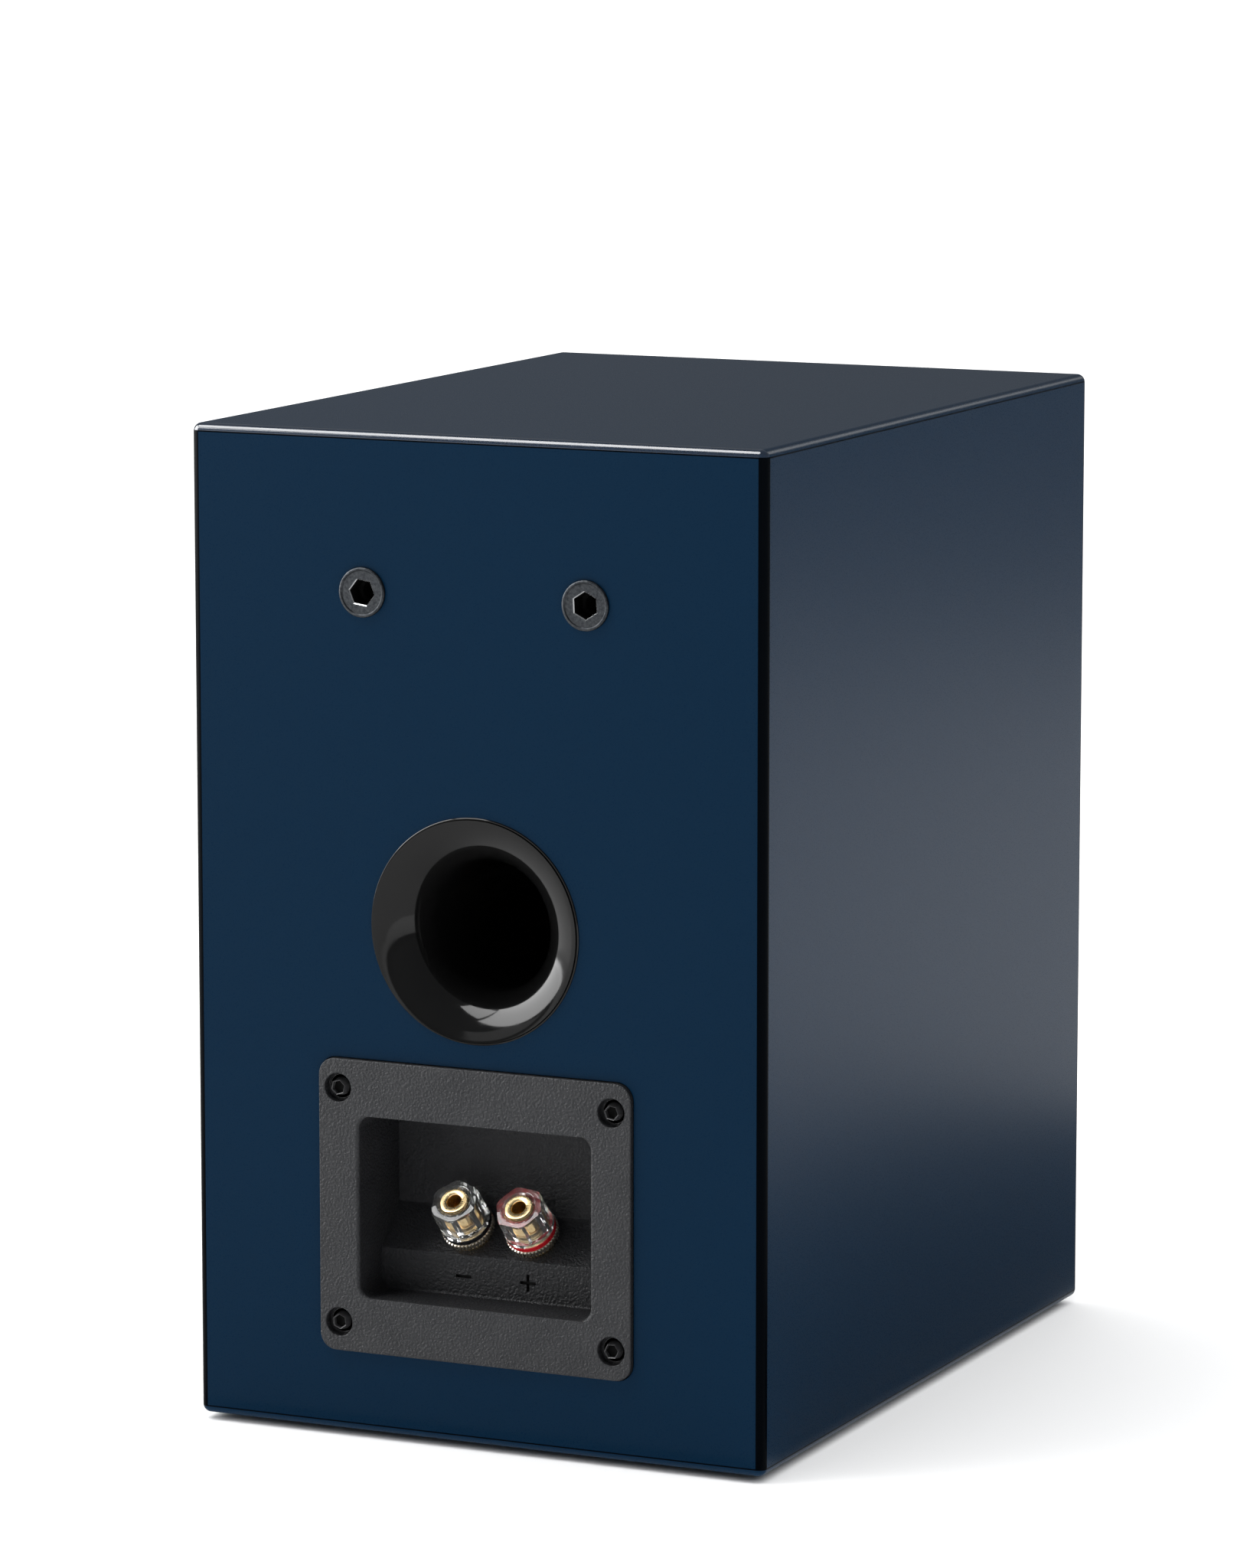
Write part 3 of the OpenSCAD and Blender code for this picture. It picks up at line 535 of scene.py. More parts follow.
# ---------------------------------------------------------------- cabinet
EDGE_STEPS = 10
WOOFER_SEAT_R, WOOFER_HOLE_R, WOOFER_SCREW_R = 74.3, 66.6, 69.8
TWEETER_SEAT_R, TWEETER_HOLE_R, TWEETER_SCREW_R = 50.3, 37.0, 43.5
SEAT_DEPTH = 4.5
THROUGH = -40  # deeper than any panel
PORT_STEPS = ((31.4, -3.5), (26.5, -8.5), (21.5, THROUGH))  # radius and depth of each step outside the tube
INSERT_R, INSERT_FLANGE_R = 5.0, 7.2
CUP_SCREW_X, CUP_SCREW_Z = 86.6, 69.0


def rounded_cabinet():
    """The whole cabinet's outer form, with rounded edges and ball corners."""
    bm = block(CAB_LOW, CAB_HIGH)
    bmesh.ops.bevel(bm, geom=bm.edges[:], offset=EDGE_R * MM, segments=EDGE_STEPS, profile=0.5,
                    affect="EDGES", offset_type="OFFSET")
    return bm


def panel(node):
    """The part of the cabinet's form that one panel fills, as a closed solid."""
    bm = rounded_cabinet()
    low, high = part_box(node)
    for axis in range(3):
        for side, wall, outer in ((-1, low, CAB_LOW), (1, high, CAB_HIGH)):
            if abs(wall[axis] - outer[axis]) < 1e-5:
                continue
            normal = Vector((0, 0, 0))
            normal[axis] = side
            cut = bmesh.ops.bisect_plane(bm, geom=bm.verts[:] + bm.edges[:] + bm.faces[:], plane_co=wall,
                                         plane_no=normal, clear_outer=True)
            rim = [e for e in cut["geom_cut"] if isinstance(e, bmesh.types.BMEdge)]
            bmesh.ops.edgeloop_fill(bm, edges=rim)
    return from_bmesh("lacquered_" + node, bm)


def ring_places(place, n, r, start):
    """Local frames of n fixings on a circle."""
    turn = [math.radians(start + 360 * i / n) for i in range(n)]
    return [place @ Matrix.Translation((r * math.cos(a), r * math.sin(a), 0)) for a in turn]


WOOFER_SCREW_PLACES = ring_places(WOOFER, 6, WOOFER_SCREW_R, 30)
TWEETER_SCREW_PLACES = ring_places(TWEETER, 4, TWEETER_SCREW_R, 45)
CUP_SCREW_PLACES = [CUP @ Matrix.Translation((x * CUP_SCREW_X / 2, z * CUP_SCREW_Z / 2, 0))
                    for x in (-1, 1) for z in (-1, 1)]
INSERT_X = half_width("threaded_inserts") - INSERT_FLANGE_R
INSERT_PLACES = [at_back(side * INSERT_X * MM, centre("threaded_inserts").z) for side in (-1, 1)]


def finish_panel(obj):
    """Lacquer outside, raw MDF inside, a painted highlight on the upper back edge and painted shade on the
    upright edges.
    """
    obj.data.materials.clear()
    for mat in (LACQUER, MDF, LACQUER_HIGHLIGHT, LACQUER_SHADE):
        obj.data.materials.append(mat)
    reach = (EDGE_R + 0.1) * MM
    wall = 5 * MM
    for face in obj.data.polygons:
        c, n = face.center, face.normal
        gap = min(min(c[k] - CAB_LOW[k], CAB_HIGH[k] - c[k]) for k in range(3))
        outward = any(abs(n[k]) > 0.99 and abs(c[k] - (CAB_HIGH if n[k] > 0 else CAB_LOW)[k]) < 1e-5
                      for k in range(3))
        slanted = max(abs(n[k]) for k in range(3)) < 0.999 and gap < reach
        near_face = c.y > BACK_Y - wall or c.y < FRONT_Y + wall
        # Painted highlight on the upper back edge, chosen by face direction.
        if slanted and n.y > 0.2 and n.z > 0.2:
            face.material_index = 2
        # Painted shade on the upright edges, chosen by face direction.
        elif slanted and abs(n.z) < 0.2:
            face.material_index = 3
        else:
            face.material_index = 0 if outward or slanted or near_face else 1


def carve_baffle(obj):
    """Seats, openings and screw holes of the two drivers."""
    for place, seat_r, hole_r in ((WOOFER, WOOFER_SEAT_R, WOOFER_HOLE_R),
                                  (TWEETER, TWEETER_SEAT_R, TWEETER_HOLE_R)):
        carve(obj, [cylinder("cut", seat_r, -SEAT_DEPTH, 2, place),
                    cylinder("cut", hole_r, THROUGH, 2, place)])
    for places, r in ((WOOFER_SCREW_PLACES, 2.0), (TWEETER_SCREW_PLACES, 1.8)):
        carve(obj, [cylinder("cut", r, -17, 0, place, 24) for place in places])


def carve_back(obj):
    """Stepped port opening, insert holes, and the cup's rebate, opening and screw holes."""
    carve(obj, [cylinder("cut", r + 0.2, depth - 0.1, 2, PORT) for r, depth in PORT_STEPS])
    carve(obj, [cylinder("cut", INSERT_R + 0.05, THROUGH, 2, place, 64) for place in INSERT_PLACES])
    carve(obj, [prism("cut", round_rect(99.5, 86.6, 5.3), -3.5, 3, CUP),
                prism("cut", round_rect(79.5, 59.5, 4), THROUGH, 3, CUP)])
    carve(obj, [cylinder("cut", 2.0, -13.5, 0, place, 24) for place in CUP_SCREW_PLACES])


def make_cabinet():
    """Six panels cut from one rounded form, the baffle and the back with their openings."""
    for node in ("top_panel", "bottom_panel", "left_panel", "right_panel", "front_baffle", "back_panel"):
        obj = panel(node)
        if node == "front_baffle":
            carve_baffle(obj)
        if node == "back_panel":
            carve_back(obj)
        finish_panel(obj)
        shade(obj, 32.0, weighted=True)
        dress(obj, None, "cabinet", "lacquer", node)


def make_brace():
    low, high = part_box("cross_brace")
    obj = from_bmesh("cross_brace_board", block(low, high))
    bevel = obj.modifiers.new("eased_edges", "BEVEL")
    bevel.width, bevel.segments = 0.8 * MM, 3
    dress(shade(obj), MDF, "cabinet", "mdf", "cross_brace")


def make_feet():
    """Four turned rubber feet, one inside each corner of the feet's box."""
    low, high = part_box("rubber_feet")
    r = 7.0
    for i, (x, y) in enumerate((x, y) for x in (low.x, high.x) for y in (low.y, high.y)):
        inward = Vector((r * MM if x < 0 else -r * MM, r * MM if y < 0 else -r * MM, 0))
        place = axes(Vector((x, y, 0)) + inward, (1, 0, 0), (0, 1, 0), (0, 0, 1))
        outline = rounded([(0, 0), (r - 0.6, 0, 0.5), (r, 1.0, 0.4), (r, 2.0), (0, 2.0)])
        foot = lathe(f"rubber_foot_{i + 1}", outline, place, 64)
        dress(foot, RUBBER, "cabinet", "foot_rubber", "rubber_feet")


# ---------------------------------------------------------------- port, inserts and terminal cup
def make_port():
    """Port tube with a round flare, a flange on the back and two steps sunk into it."""
    bore_r, flare_r, flare_end, inner_end = 19.0, 14.5, 95.5, -120.0
    flare_z = 1 - flare_r * math.sin(math.radians(flare_end))
    (r1, z1), (r2, z2), (r3, _) = PORT_STEPS
    outline = arc(bore_r + flare_r, flare_z, flare_r, 180, flare_end, 40)
    outline += rounded([(32.8, 1.0, 0.35), (32.8, 0), (r1, 0), (r1, z1), (r2, z1), (r2, z2), (r3, z2),
                        (r3, inner_end, 1.0), (bore_r, inner_end, 1.0), (bore_r, flare_z - 1)])
    dress(lathe("port_moulding", outline, PORT, 192), GLOSS_BLACK, "cabinet", "port_plastic", "port_tube")


def make_inserts():
    """Flanged insert: rolled rim, flat face, hexagonal mouth and threaded hole."""
    hole_r, half, face_z, mouth_z = 2.55, 3.4, 0.68, 0.42
    outline = rounded([(hole_r, -14), (INSERT_R, -14, 0.5), (INSERT_R, 0), (INSERT_FLANGE_R, 0),
                       (INSERT_FLANGE_R, 1.0, 0.4), (6.45, 1.0, 0.15), (6.2, face_z)])
    outline += [(half + 0.28, face_z, "hex"), (half, mouth_z, "hex"), (half, -5, "hex"), (hole_r, -5.3)]
    outline += ribs(hole_r, 2.95, -5.6, -1, 8, -0.45, -0.1)

    def finish(spot):
        """Painted highlight on the hexagon's slanted edge and painted shade on everything below it."""
        if spot.xy.length > half + 0.7 or spot.z > face_z - 0.02:
            return 0
        return 1 if spot.z > mouth_z + 0.02 else 2

    for i, (place, turn) in enumerate(zip(INSERT_PLACES, (3, 22))):
        spun = place @ Matrix.Rotation(math.radians(turn), 4, "Z")
        obj = lathe(f"wall_insert_{i + 1}", outline, spun, 120, hexagon, 25.0)
        dress(obj, BLACK_ZINC, "cabinet", "insert_zinc", "threaded_inserts")
        paint(obj, (INSERT_EDGE_HIGHLIGHT, HOLLOW_SHADE), spun, finish)


# Head radius, top of the head, its height, shank radius, tip, and half the socket's width across flats
CUP_SCREW = (3.55, 1.3, 2.5, 1.95, -13, 1.75)
WOOFER_SCREW = (3.15, -0.3, 2.5, 1.95, -16, 1.25)
TWEETER_SCREW = (3.0, -0.3, 2.3, 1.75, -16, 1.25)
SOCKET_DEPTH = 1.6


def make_screw(name, size, place, node):
    """Socket-head screw with painted shade on its socket floor, from its axis out: socket, head, shank and
    blunt tip.
    """
    head_r, top, head_t, shank_r, end, half = size
    floor = top - SOCKET_DEPTH
    outline = [(0, floor - 0.15), (half, floor, "hex"), (half, top - 0.2, "hex"), (half + 0.2, top, "hex")]
    outline += rounded([(head_r - 0.05, top, 0.4), (head_r, top - head_t, 0.1), (shank_r, top - head_t),
                        (shank_r, end + 1), (shank_r - 0.8, end), (0, end)])
    obj = lathe(name, outline, place, 72, hexagon, 28.0)
    dress(obj, BLACK_STEEL, "cabinet", "black_steel", node)
    # Painted shade on the socket floor.
    paint(obj, (HOLLOW_SHADE,), place, lambda spot: int(spot.xy.length < half and abs(spot.z - floor) < 0.2))


def make_screw_set(name, size, places, turns, node):
    for i, (place, turn) in enumerate(zip(places, turns)):
        spun = place @ Matrix.Rotation(math.radians(turn), 4, "Z")
        make_screw(f"{name}_{i + 1}", size, spun, node)


def make_screws():
    """Each screw stops at its own angle, as hand-driven ones do."""
    turns = (20, 33, 47, 5)
    make_screw_set("cup_screw", CUP_SCREW, CUP_SCREW_PLACES, turns, "terminal_screws")
    turns = (10, 25, 48, 3, 33, 17)
    make_screw_set("woofer_screw", WOOFER_SCREW, WOOFER_SCREW_PLACES, turns, "woofer_screws")
    turns = (12, 40, 27, 5)
    make_screw_set("tweeter_screw", TWEETER_SCREW, TWEETER_SCREW_PLACES, turns, "tweeter_screws")


RECESS_W, RECESS_H, RECESS_CORNER, CUP_WALL = 73.5, 53.5, 4.0, 2.5
LOW_WALL, BACK_WALL, SHELF_LOW = 13.0, 24.5, 12.0
LIP_R, PLATE_PROUD = 1.0, 1.5
MARK_DROP, MARK_LONG, MARK_STROKE, MARK_DEEP = RECESS_H / 2 - 5.8, 2.5, 0.45, 0.8


def across(name, outline, width):
    """Solid across the cabinet, from an outline of (depth inside the back, height above the cup's middle)."""
    place = axes(CUP.translation, (0, -1, 0), (0, 0, 1), (-1, 0, 0))
    return prism(name, outline, -width / 2, width / 2, place)


def recess_outline(g, soft):
    """Side view of the recess with its sloping shelf, grown by g; soft rounds its inner corners."""
    floor, roof = -RECESS_H / 2 - g, RECESS_H / 2 + g
    s = g * math.tan(math.radians(22.5))
    rise = BACK_WALL - LOW_WALL
    r_in, r_out = (0.7, 0.5) if soft else (0, 0)
    shelf = floor + g + SHELF_LOW - s
    return rounded([(-6, floor), (LOW_WALL + g, floor, r_in), (LOW_WALL + g, shelf, r_out),
                    (BACK_WALL + g, shelf + rise, r_in), (BACK_WALL + g, roof, r_in), (-6, roof)])


def rect_rings(w, h, r, steps):
    """Rings of a round-cornered rectangle for pairs of (growth, height)."""
    return [[(x, y, z) for x, y in round_rect(w + 2 * g, h + 2 * g, r + g)] for g, z in steps]


def quarter(rise):
    """What rise gives, as (growth, height), at every 15 degrees of a quarter turn."""
    return [rise(math.radians(a)) for a in range(0, 91, 15)]


def cup_body():
    """Plate with an eased edge, joined to the closed body behind it."""
    r = 0.35
    edge = quarter(lambda a: (-r * (1 - math.cos(a)) - 0.2 * a / math.pi, PLATE_PROUD - r + r * math.sin(a)))
    cup = loft("terminal_cup_moulding", rect_rings(98.9, 86.0, 5.0, [(0, -3.0), *edge]), CUP)
    body = prism("body", round_rect(RECESS_W + 5, RECESS_H + 5, 5.25), THROUGH, -1, CUP)
    carve(body, [across("body_side", recess_outline(CUP_WALL, False), 90)], "INTERSECT")
    return carve(cup, [body], "UNION")


def carve_recess(cup):
    """The recess in front of the shelf, with a round lip on the plate."""
    lip = quarter(lambda a: (LIP_R * (1 - math.cos(a)), PLATE_PROUD - LIP_R + LIP_R * math.sin(a)))
    rings = rect_rings(RECESS_W, RECESS_H, RECESS_CORNER, [(0, THROUGH), *lip, (LIP_R + 0.4, 4)])
    space = loft("space", rings, CUP)
    carve(space, [across("space_side", recess_outline(0, True), 90)], "INTERSECT")
    carve(cup, [space])


def carve_marks(cup):
    """Minus under the black post and plus under the red one, sunk into the low wall."""
    x_neg = centre("colour_ring_neg").x / MM
    for x, w, h in ((x_neg, MARK_LONG, MARK_STROKE), (-x_neg, MARK_LONG, MARK_STROKE),
                    (-x_neg, MARK_STROKE, MARK_LONG)):
        outline = rectangle(x - w, MARK_DROP - h, x + w, MARK_DROP + h)
        carve(cup, [prism("cut", outline, -LOW_WALL - MARK_DEEP, -LOW_WALL + MARK_DEEP, CUP)])


def cup_finish(spot):
    """Plate, painted shade in the recess (a darker copy of the plate's plastic), and black painted shade in
    the marks.
    """
    depth = -LOW_WALL - spot.z
    # Painted shade in the marks' grooves.
    if abs(spot.y - MARK_DROP) < MARK_LONG + 0.1 and 0.05 < depth < MARK_DEEP + 0.05:
        return 2
    # Everything below the plate's face gets painted shade.
    return 1 if spot.z < 0.5 else 0


def make_cup():
    """Terminal cup with its recess, counterbored screw holes, post holes and marks."""
    cup = cup_body()
    carve_recess(cup)
    for place in CUP_SCREW_PLACES:
        well = [[(x, y, z) for x, y in arc(0, 0, r, 0, 360 * 63 / 64, 63)]
                for r, z in ((4.2, -1.2), (4.2, 1.3), (4.4, 1.55), (4.4, 3))]
        carve(cup, [cylinder("cut", 2.2, -6, 3, place, 48), loft("cut", well, place)])
    carve(cup, [cylinder("cut", 4.3, -6, 3, at_post(sign), 64) for sign in ("neg", "pos")])
    carve_marks(cup)
    dress(shade(cup, 30.0, weighted=True), CUP_PLASTIC, "cabinet", "cup_plastic", "terminal_cup")
    paint(cup, (CUP_RECESS_SHADE, HOLLOW_SHADE), CUP, cup_finish)


# ---------------------------------------------------------------- binding posts
TEETH = 44


def tooth(a, r, z, tag):
    """Straight-knurled rim for "rim", crossed knurl for "core"."""
    if tag == "rim":
        share = (a * TEETH / math.tau) % 1.0
        return r - 0.6 * min(max((0.24 - min(share, 1 - share)) / 0.1, 0), 1)
    if tag == "core":
        lead = 3.2
        waves = math.sin(24 * a + lead * z) * math.sin(24 * a - lead * z)
        return r - 0.07 * (1 + waves)
    return r


def stud_outline():
    """Threaded stud with a collar and a banana socket in its tip."""
    tip = 16.8
    shank = [(0, -11.0), (3.7, -11.0)] + ribs(3.85, 4.2, -10.5, 1, 8, 0.4, 0.2)
    collar = [(3.9, -2.4), (4.2, -2.2), (4.2, -0.05), (4.2, 0), (6.4, 0), (6.5, 0.1), (6.5, 1.1), (6.4, 1.2),
              (3.5, 1.2)]
    thread = ribs(3.25, 3.5, 1.4, 0.75, 16, 0.3, 0.12)
    head = [(3.4, 13.5), (4.1, 13.6), (4.2, 13.75), (4.2, tip - 0.35), (4.12, tip - 0.12), (3.95, tip)]
    socket = [(2.5, tip), (2.32, tip - 0.08), (2.15, tip - 0.3), (2.1, tip - 0.5), (2.1, tip - 12),
              (0, tip - 12)]
    return shank + collar + thread + head + socket


NUT_CORE_R, NUT_BORE_R = 4.25, 3.56


def nut_outline():
    """Clamping nut: toothed rim below, knurled sleeve above, plain bore."""
    rim = [(NUT_BORE_R, 2.1), (7.2, 2.1), (7.6, 2.17, "rim"), (7.9, 2.4, "rim"), (7.9, 4.3, "rim"),
           (7.6, 4.53, "rim"), (7.2, 4.6), (NUT_CORE_R, 4.6)]
    core = [(NUT_CORE_R, 4.7 + 0.2 * k, "core") for k in range(24)]
    return rim + core + [(4.1, 9.5), (3.7, 9.5), (NUT_BORE_R, 9.35)]


CAP_LOW, CAP_TOP, CAP_BORE = 6.4, 16.5, 4.3
CAP_FLANGE_R, CAP_HALF = 7.6, 6.53
CAP_TURNED_R, CAP_SOFT_R = 7.52, CAP_HALF * 1.14


def cap_radius(a, r, z, tag):
    """Hexagonal grip under a turned outline, with softened corners."""
    return min(r, hexagon(a, CAP_HALF), CAP_SOFT_R)


def cap_outline():
    """Clear cap: round flange below, hexagonal grip, worn top edge and bore."""
    wall = [(CAP_BORE, CAP_LOW), (7.3, CAP_LOW), (CAP_FLANGE_R, 6.65), (CAP_FLANGE_R, 7.65), (7.57, 7.9),
            (7.53, 8)]
    grip = [(CAP_TURNED_R, 8.07, "grip")]
    grip += [(CAP_TURNED_R, 8.35 + 0.8 * k, "grip") for k in range(10)]
    bevel = [(CAP_TURNED_R - 0.55 * (k / 6) ** 1.6, 15.75 + 0.65 * k / 6, "grip") for k in range(1, 7)]
    top = [(5.6, CAP_TOP - 0.04), (5.4, CAP_TOP), (5.15, CAP_TOP - 0.05), (CAP_BORE, CAP_TOP - 0.8)]
    return wall + grip + bevel + top


def make_post(sign, ring_mat, ring_slot, turn):
    """Stud, clamping nut, colour ring and clear cap of one binding post."""
    place = at_post(sign)
    spun = place @ Matrix.Rotation(math.radians(turn), 4, "Z")
    stud = lathe(f"stud_{sign}", stud_outline(), place, 96)
    dress(stud, GOLD, "cabinet", "gold_plate", f"post_stud_{sign}")
    nut = lathe(f"knurled_nut_{sign}", nut_outline(), spun, 440, tooth, 40.0)
    dress(nut, PALE_GOLD, f"cap_{sign}", "nut_plate", f"clamp_nut_{sign}")
    paint(nut, (GOLD,), spun, lambda spot: int(spot.xy.length < NUT_CORE_R + 0.35))
    outline = rounded([(4.31, RING_LOW), (7.6, RING_LOW, 0.2), (7.6, RING_HIGH, 0.2), (4.31, RING_HIGH)])
    ring = lathe(f"polarity_ring_{sign}", outline, place, 128)
    dress(ring, ring_mat, f"ring_{sign}", ring_slot, f"colour_ring_{sign}")
    cap = lathe(f"clear_grip_{sign}", cap_outline(), spun, 180, cap_radius, 22.0)
    dress(cap, CLEAR, f"cap_{sign}", "clear_plastic", f"clear_cap_{sign}")


def make_posts():
    make_post("neg", RING_BLACK, "ring_black", 11)
    make_post("pos", RING_RED, "ring_red", 24)


# ---------------------------------------------------------------- drivers
def radial_blend(obj):
    """Bakes the piece's place into its mesh."""
    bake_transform(obj)


def flex(obj, mat, node):
    """Gives a piece its material, bakes its place into its mesh and hides its CAD node."""
    obj.data.materials.append(mat)
    radial_blend(obj)
    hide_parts(node)


ROLL_MID, ROLL_R, LIP_Z, RUBBER_T = 52.9, 5.5, -4.0, 0.8
CONE_R, CONE_NECK, CONE_DROP = 44.6, 13.3, 22.0
CONE_RIM_Z = LIP_Z - RUBBER_T - 0.05


def cone_z(r):
    """Height of the cone's front face at radius r."""
    return CONE_RIM_Z - CONE_DROP * (1 - (r - CONE_NECK) / (CONE_R - CONE_NECK)) ** 1.15


def shell(r, h, t, low, steps=24):
    """Outline of a spherical shell over a ring of radius r."""
    big = (r * r + h * h) / (2 * h)
    a = math.asin(r / big)
    z = low + h - big
    turn = [a * i / steps for i in range(steps + 1)]
    return ([(big * math.sin(q), z + big * math.cos(q)) for q in turn] +
            [((big - t) * math.sin(q), z + (big - t) * math.cos(q)) for q in reversed(turn)])


def make_woofer_surround():
    """Half-round roll between the basket's rim and the cone's edge."""
    inner, outer = ROLL_MID - ROLL_R, ROLL_MID + ROLL_R
    under = LIP_Z - RUBBER_T
    outline = ([(64.4, under), (64.4, LIP_Z)] + arc(ROLL_MID, LIP_Z, ROLL_R, 0, 180, 36) +
               [(CONE_R, LIP_Z), (CONE_R, under), (inner + RUBBER_T, under)] +
               arc(ROLL_MID, LIP_Z, ROLL_R - RUBBER_T, 180, 0, 36) + [(outer - RUBBER_T, under)])
    roll = lathe("woofer_roll_surround", outline, WOOFER, 192, angle=60.0)
    flex(roll, SOFT_RUBBER, "woofer_surround")


def make_woofer_cone():
    """Cone with a curved flank, and the dome that covers its neck."""
    radii = [CONE_NECK + (CONE_R - CONE_NECK) * i / 28 for i in range(29)]
    outline = ([(r, cone_z(r)) for r in radii] + [(47.9, CONE_RIM_Z), (47.9, CONE_RIM_Z - 0.7)] +
               [(r, cone_z(r) - 0.9) for r in reversed(radii)])
    cone = lathe("woofer_pulp_cone", outline, WOOFER, 192)
    dress(cone, CONE_PAPER, "woofer_moving", "cone_paper", "woofer_cone")
    dome = lathe("woofer_dust_dome", shell(19.0, 6.0, 0.5, cone_z(19.0) + 0.7), WOOFER, 128)
    dress(dome, SOFT_RUBBER, "woofer_moving", "surround_rubber", "woofer_dust_cap")


def spider_z(r):
    """Middle of the spider's cloth: four waves between two flat rings."""
    return -32.7 + (1.1 * math.sin(math.tau * (r - 15) / 4.25) if 15 < r < 32 else 0)


def make_woofer_spider():
    radii = [13.3 + 24.2 * i / 144 for i in range(145)]
    outline = [(r, spider_z(r) + 0.25) for r in radii] + [(r, spider_z(r) - 0.25) for r in reversed(radii)]
    cloth = lathe("woofer_corrugated_spider", outline, WOOFER, 144, angle=60.0)
    flex(cloth, CLOTH, "woofer_spider")


def make_woofer_coil():
    """Former under the cone's neck, wound with wire along its lower end."""
    windings = [(13.9 - (0.08 if k % 2 else 0), -55 + 0.2 * k) for k in range(61)]
    neck = cone_z(CONE_NECK)
    coil = lathe("woofer_coil", [(12.9, -55)] + windings + [(13.2, -43), (13.2, neck), (12.9, neck)], WOOFER,
                 96, angle=60.0)
    dress(coil, COPPER, "woofer_moving", "copper", "woofer_voice_coil")


def make_tweeter_plate():
    """Face plate, dished towards the dome, with its screws' holes and counterbores."""
    top, r_in, r_dish, steps = -3.6, 16.2, 39.2, 24
    rim = rounded([(50, 0, 0.4), (50, -4), (36, -4), (36, -6), (20, -6), (20, -4.4), (r_in, -4.4),
                   (r_in, top, 0.15)])
    dish = [(r_in + (r_dish - r_in) * i / steps, top * (1 - i / steps) ** 1.6) for i in range(1, steps + 1)]
    plate = lathe("tweeter_front_plate", rim + dish, TWEETER, 192)
    for place in TWEETER_SCREW_PLACES:
        carve(plate, [cylinder("cut", 1.9, -8, 1, place, 48), cylinder("cut", 3.15, -2.6, 1, place, 48)])
    dress(shade(plate, 30.0, weighted=True), SATIN_BLACK, "cabinet", "faceplate_plastic", "tweeter_faceplate")


def make_tweeter_dome():
    """Silk dome and the small roll round it."""
    dome = lathe("tweeter_silk_dome", shell(12.6, 4.1, 0.3, -4.9), TWEETER, 128)
    dress(dome, SILK, "tweeter_moving", "silk", "tweeter_dome")
    top, under, mid, r, silk = -4.9, -5.2, 14.35, 1.55, 0.3
    outline = ([(19.6, under), (19.6, top)] + arc(mid, top, r, 0, 180, 20) + [(12.8, under), (13.1, under)] +
               arc(mid, top, r - silk, 180, 0, 20) + [(15.6, under)])
    roll = lathe("tweeter_silk_surround", outline, TWEETER, 128, angle=60.0)
    flex(roll, SILK, "tweeter_surround")


# ---------------------------------------------------------------- damping and wires
def felt_sheet(name, low, high, step=4.0):
    """Thick felt: a subdivided block with soft edges and a lumpy face."""
    bm = block(low, high)
    size, mid = high - low, (high + low) / 2
    for axis in range(3):
        cuts = int(size[axis] / (step * MM))
        edges = [e for e in bm.edges if abs((e.verts[0].co - e.verts[1].co)[axis]) > size[axis] * 0.9]
        if cuts:
            bmesh.ops.subdivide_edges(bm, edges=edges, cuts=cuts, use_grid_fill=True)
    soft = 3.0 * MM
    for v in bm.verts:
        inside = [min(v.co[k] - low[k], high[k] - v.co[k]) for k in range(3)]
        lump = (0.5 + 0.5 * noise.noise(v.co * 60.0)) * 0.9 * MM
        move = Vector((0, 0, 0))
        for k in range(3):
            near_edge = max(0.0, 1 - min(inside[j] for j in range(3) if j != k) / soft)
            rounding = 1.2 * MM * near_edge ** 2 if inside[k] < soft else 0
            dent = lump if inside[k] < 1e-6 else 0
            move[k] = (rounding + dent) * (-1 if v.co[k] > mid[k] else 1)
        v.co += move
    return shade(from_bmesh(name, bm), 70.0)


def make_damping():
    """Felt on both sides and under the top panel; half of its volume is air."""
    low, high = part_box("side_damping")
    thick = 11 * MM
    for name, x0, x1 in (("left", low.x, low.x + thick), ("right", high.x - thick, high.x)):
        obj = felt_sheet(f"side_felt_{name}", Vector((x0, low.y, low.z)), Vector((x1, high.y, high.z)))
        dress(obj, FELT, "cabinet", "foam", "side_damping")
    low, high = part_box("top_damping")
    dress(felt_sheet("top_felt", low, high), FELT, "cabinet", "foam", "top_damping")


def smooth_route(points, steps):
    """Smooth curve through a route's points, the same as the CAD tubes follow."""
    p = [Vector(q) for q in points]
    last = len(p) - 1
    out = []
    for i in range(last):
        a, b, c, d = p[max(i - 1, 0)], p[i], p[i + 1], p[min(i + 2, last)]
        for s in range(steps):
            t = s / steps
            out.append(0.5 * (2 * b + (c - a) * t + (2 * a - 5 * b + 4 * c - d) * t * t +
                              (3 * b - a - 3 * c + d) * t * t * t))
    return out + [p[last]]


def tube(name, points, r, place=None, sides=16):
    """Round tube along a smooth line."""
    rings = []
    side = Vector((1, 0.1, 0.05))
    for i, p in enumerate(points):
        ahead = (points[min(i + 1, len(points) - 1)] - points[max(i - 1, 0)]).normalized()
        side = (side - ahead * side.dot(ahead)).normalized()
        up = ahead.cross(side)
        rings.append([p + r * (math.cos(math.tau * k / sides) * side + math.sin(math.tau * k / sides) * up)
                      for k in range(sides)])
    return shade(loft(name, rings, place), 50.0)


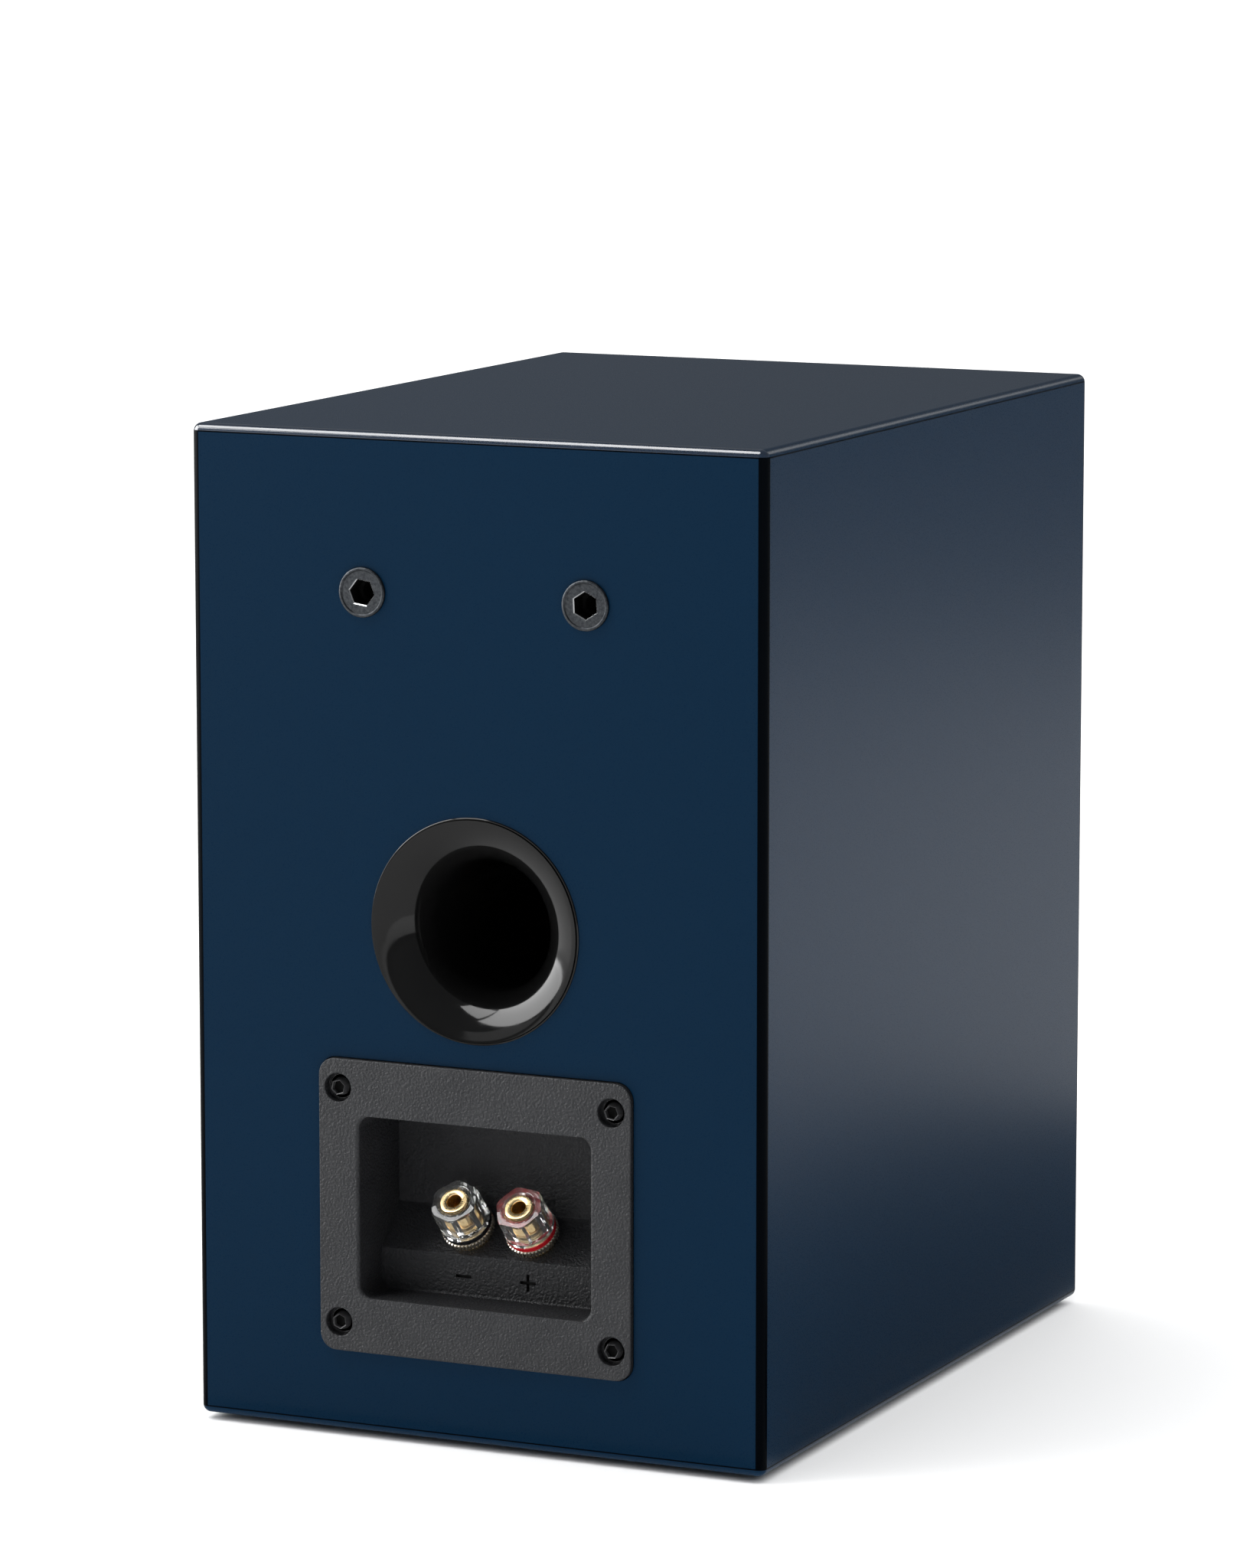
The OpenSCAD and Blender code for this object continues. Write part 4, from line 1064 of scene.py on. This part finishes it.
BOARD_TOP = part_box("crossover_board")[1].z / MM
ROUTES = {
    "input": [(10.3, 92.13, 67), (10.3, 88, 71.1), (10.6, 83, 69), (12, 80, 59), (14, 77, 44),
              (15, 75, 32), (15, 75, BOARD_TOP)],
    "woofer": [(4.2, -82, 45), (5, -82, 40), (7, -72, 33), (9, -45, 30), (10, -24, 36), (10, -12, 35),
               (10, -9, 30), (10, -9, BOARD_TOP)],
    "tweeter": [(2.6, -102, 195.6), (3, -92, 195), (14, -74, 199), (32, -52, 198), (39, -42, 183),
                (41, -32, 150), (43, -14, 100), (48, -3, 60), (50.5, 2, 36), (50.5, 2, BOARD_TOP)],
}
TINSEL = [(6.2, -45, -38), (7, -50, -33), (9, -49, -23), (10, -38, -17.6), (9, -27, -18.6), (8, -22.5, -21.2)]


def make_wires():
    for name, route in ROUTES.items():
        for tint, mat, side in (("black", PVC_BLACK, 1), ("red", PVC_RED, -1)):
            line = smooth_route([(side * x, y, z) for x, y, z in route], 8)
            obj = tube(f"{name}_wire_{tint}", line, 1.4, Matrix.Scale(MM, 4))
            dress(obj, mat, "cabinet", "wire_pvc", f"{name}_wires")
    for side in (1, -1):
        line = smooth_route([(side * x, y, z) for x, y, z in TINSEL], 8)
        obj = tube(f"woofer_tinsel_{'neg' if side > 0 else 'pos'}", line, 0.6, WOOFER, 12)
        flex(obj, COPPER, "woofer_leads")


# ---------------------------------------------------------------- carried-over CAD nodes
CAD_LOOKS = {
    "terminal_gasket": SEAL_FOAM, "post_washers": SATIN_BLACK, "post_back_nuts": GOLD, "solder_tags": TINNED,
    "woofer_basket": POWDER_COAT, "woofer_gasket": SEAL_FOAM, "woofer_top_plate": ZINC_STEEL,
    "woofer_magnet": FERRITE, "woofer_yoke": ZINC_STEEL, "woofer_terminals": TINNED,
    "tweeter_gasket": SEAL_FOAM, "tweeter_voice_coil": COPPER, "tweeter_top_plate": ZINC_STEEL,
    "tweeter_magnet": FERRITE, "tweeter_yoke": ZINC_STEEL, "tweeter_rear_cup": SATIN_BLACK,
    "tweeter_terminals": TINNED, "crossover_board": BOARD, "crossover_coils": COPPER,
    "crossover_capacitors": FILM_WRAP, "crossover_resistors": CEMENT, "crossover_fixings": ZINC_STEEL,
}


def dress_cad():
    for node, mat in CAD_LOOKS.items():
        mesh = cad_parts[node].data
        mesh.materials.clear()
        mesh.materials.append(mat)


add_camera()
add_studio()
make_cabinet()
make_brace()
make_feet()
make_port()
make_inserts()
make_screws()
make_cup()
make_posts()
make_woofer_surround()
make_woofer_cone()
make_woofer_spider()
make_woofer_coil()
make_tweeter_plate()
make_tweeter_dome()
make_damping()
make_wires()
dress_cad()
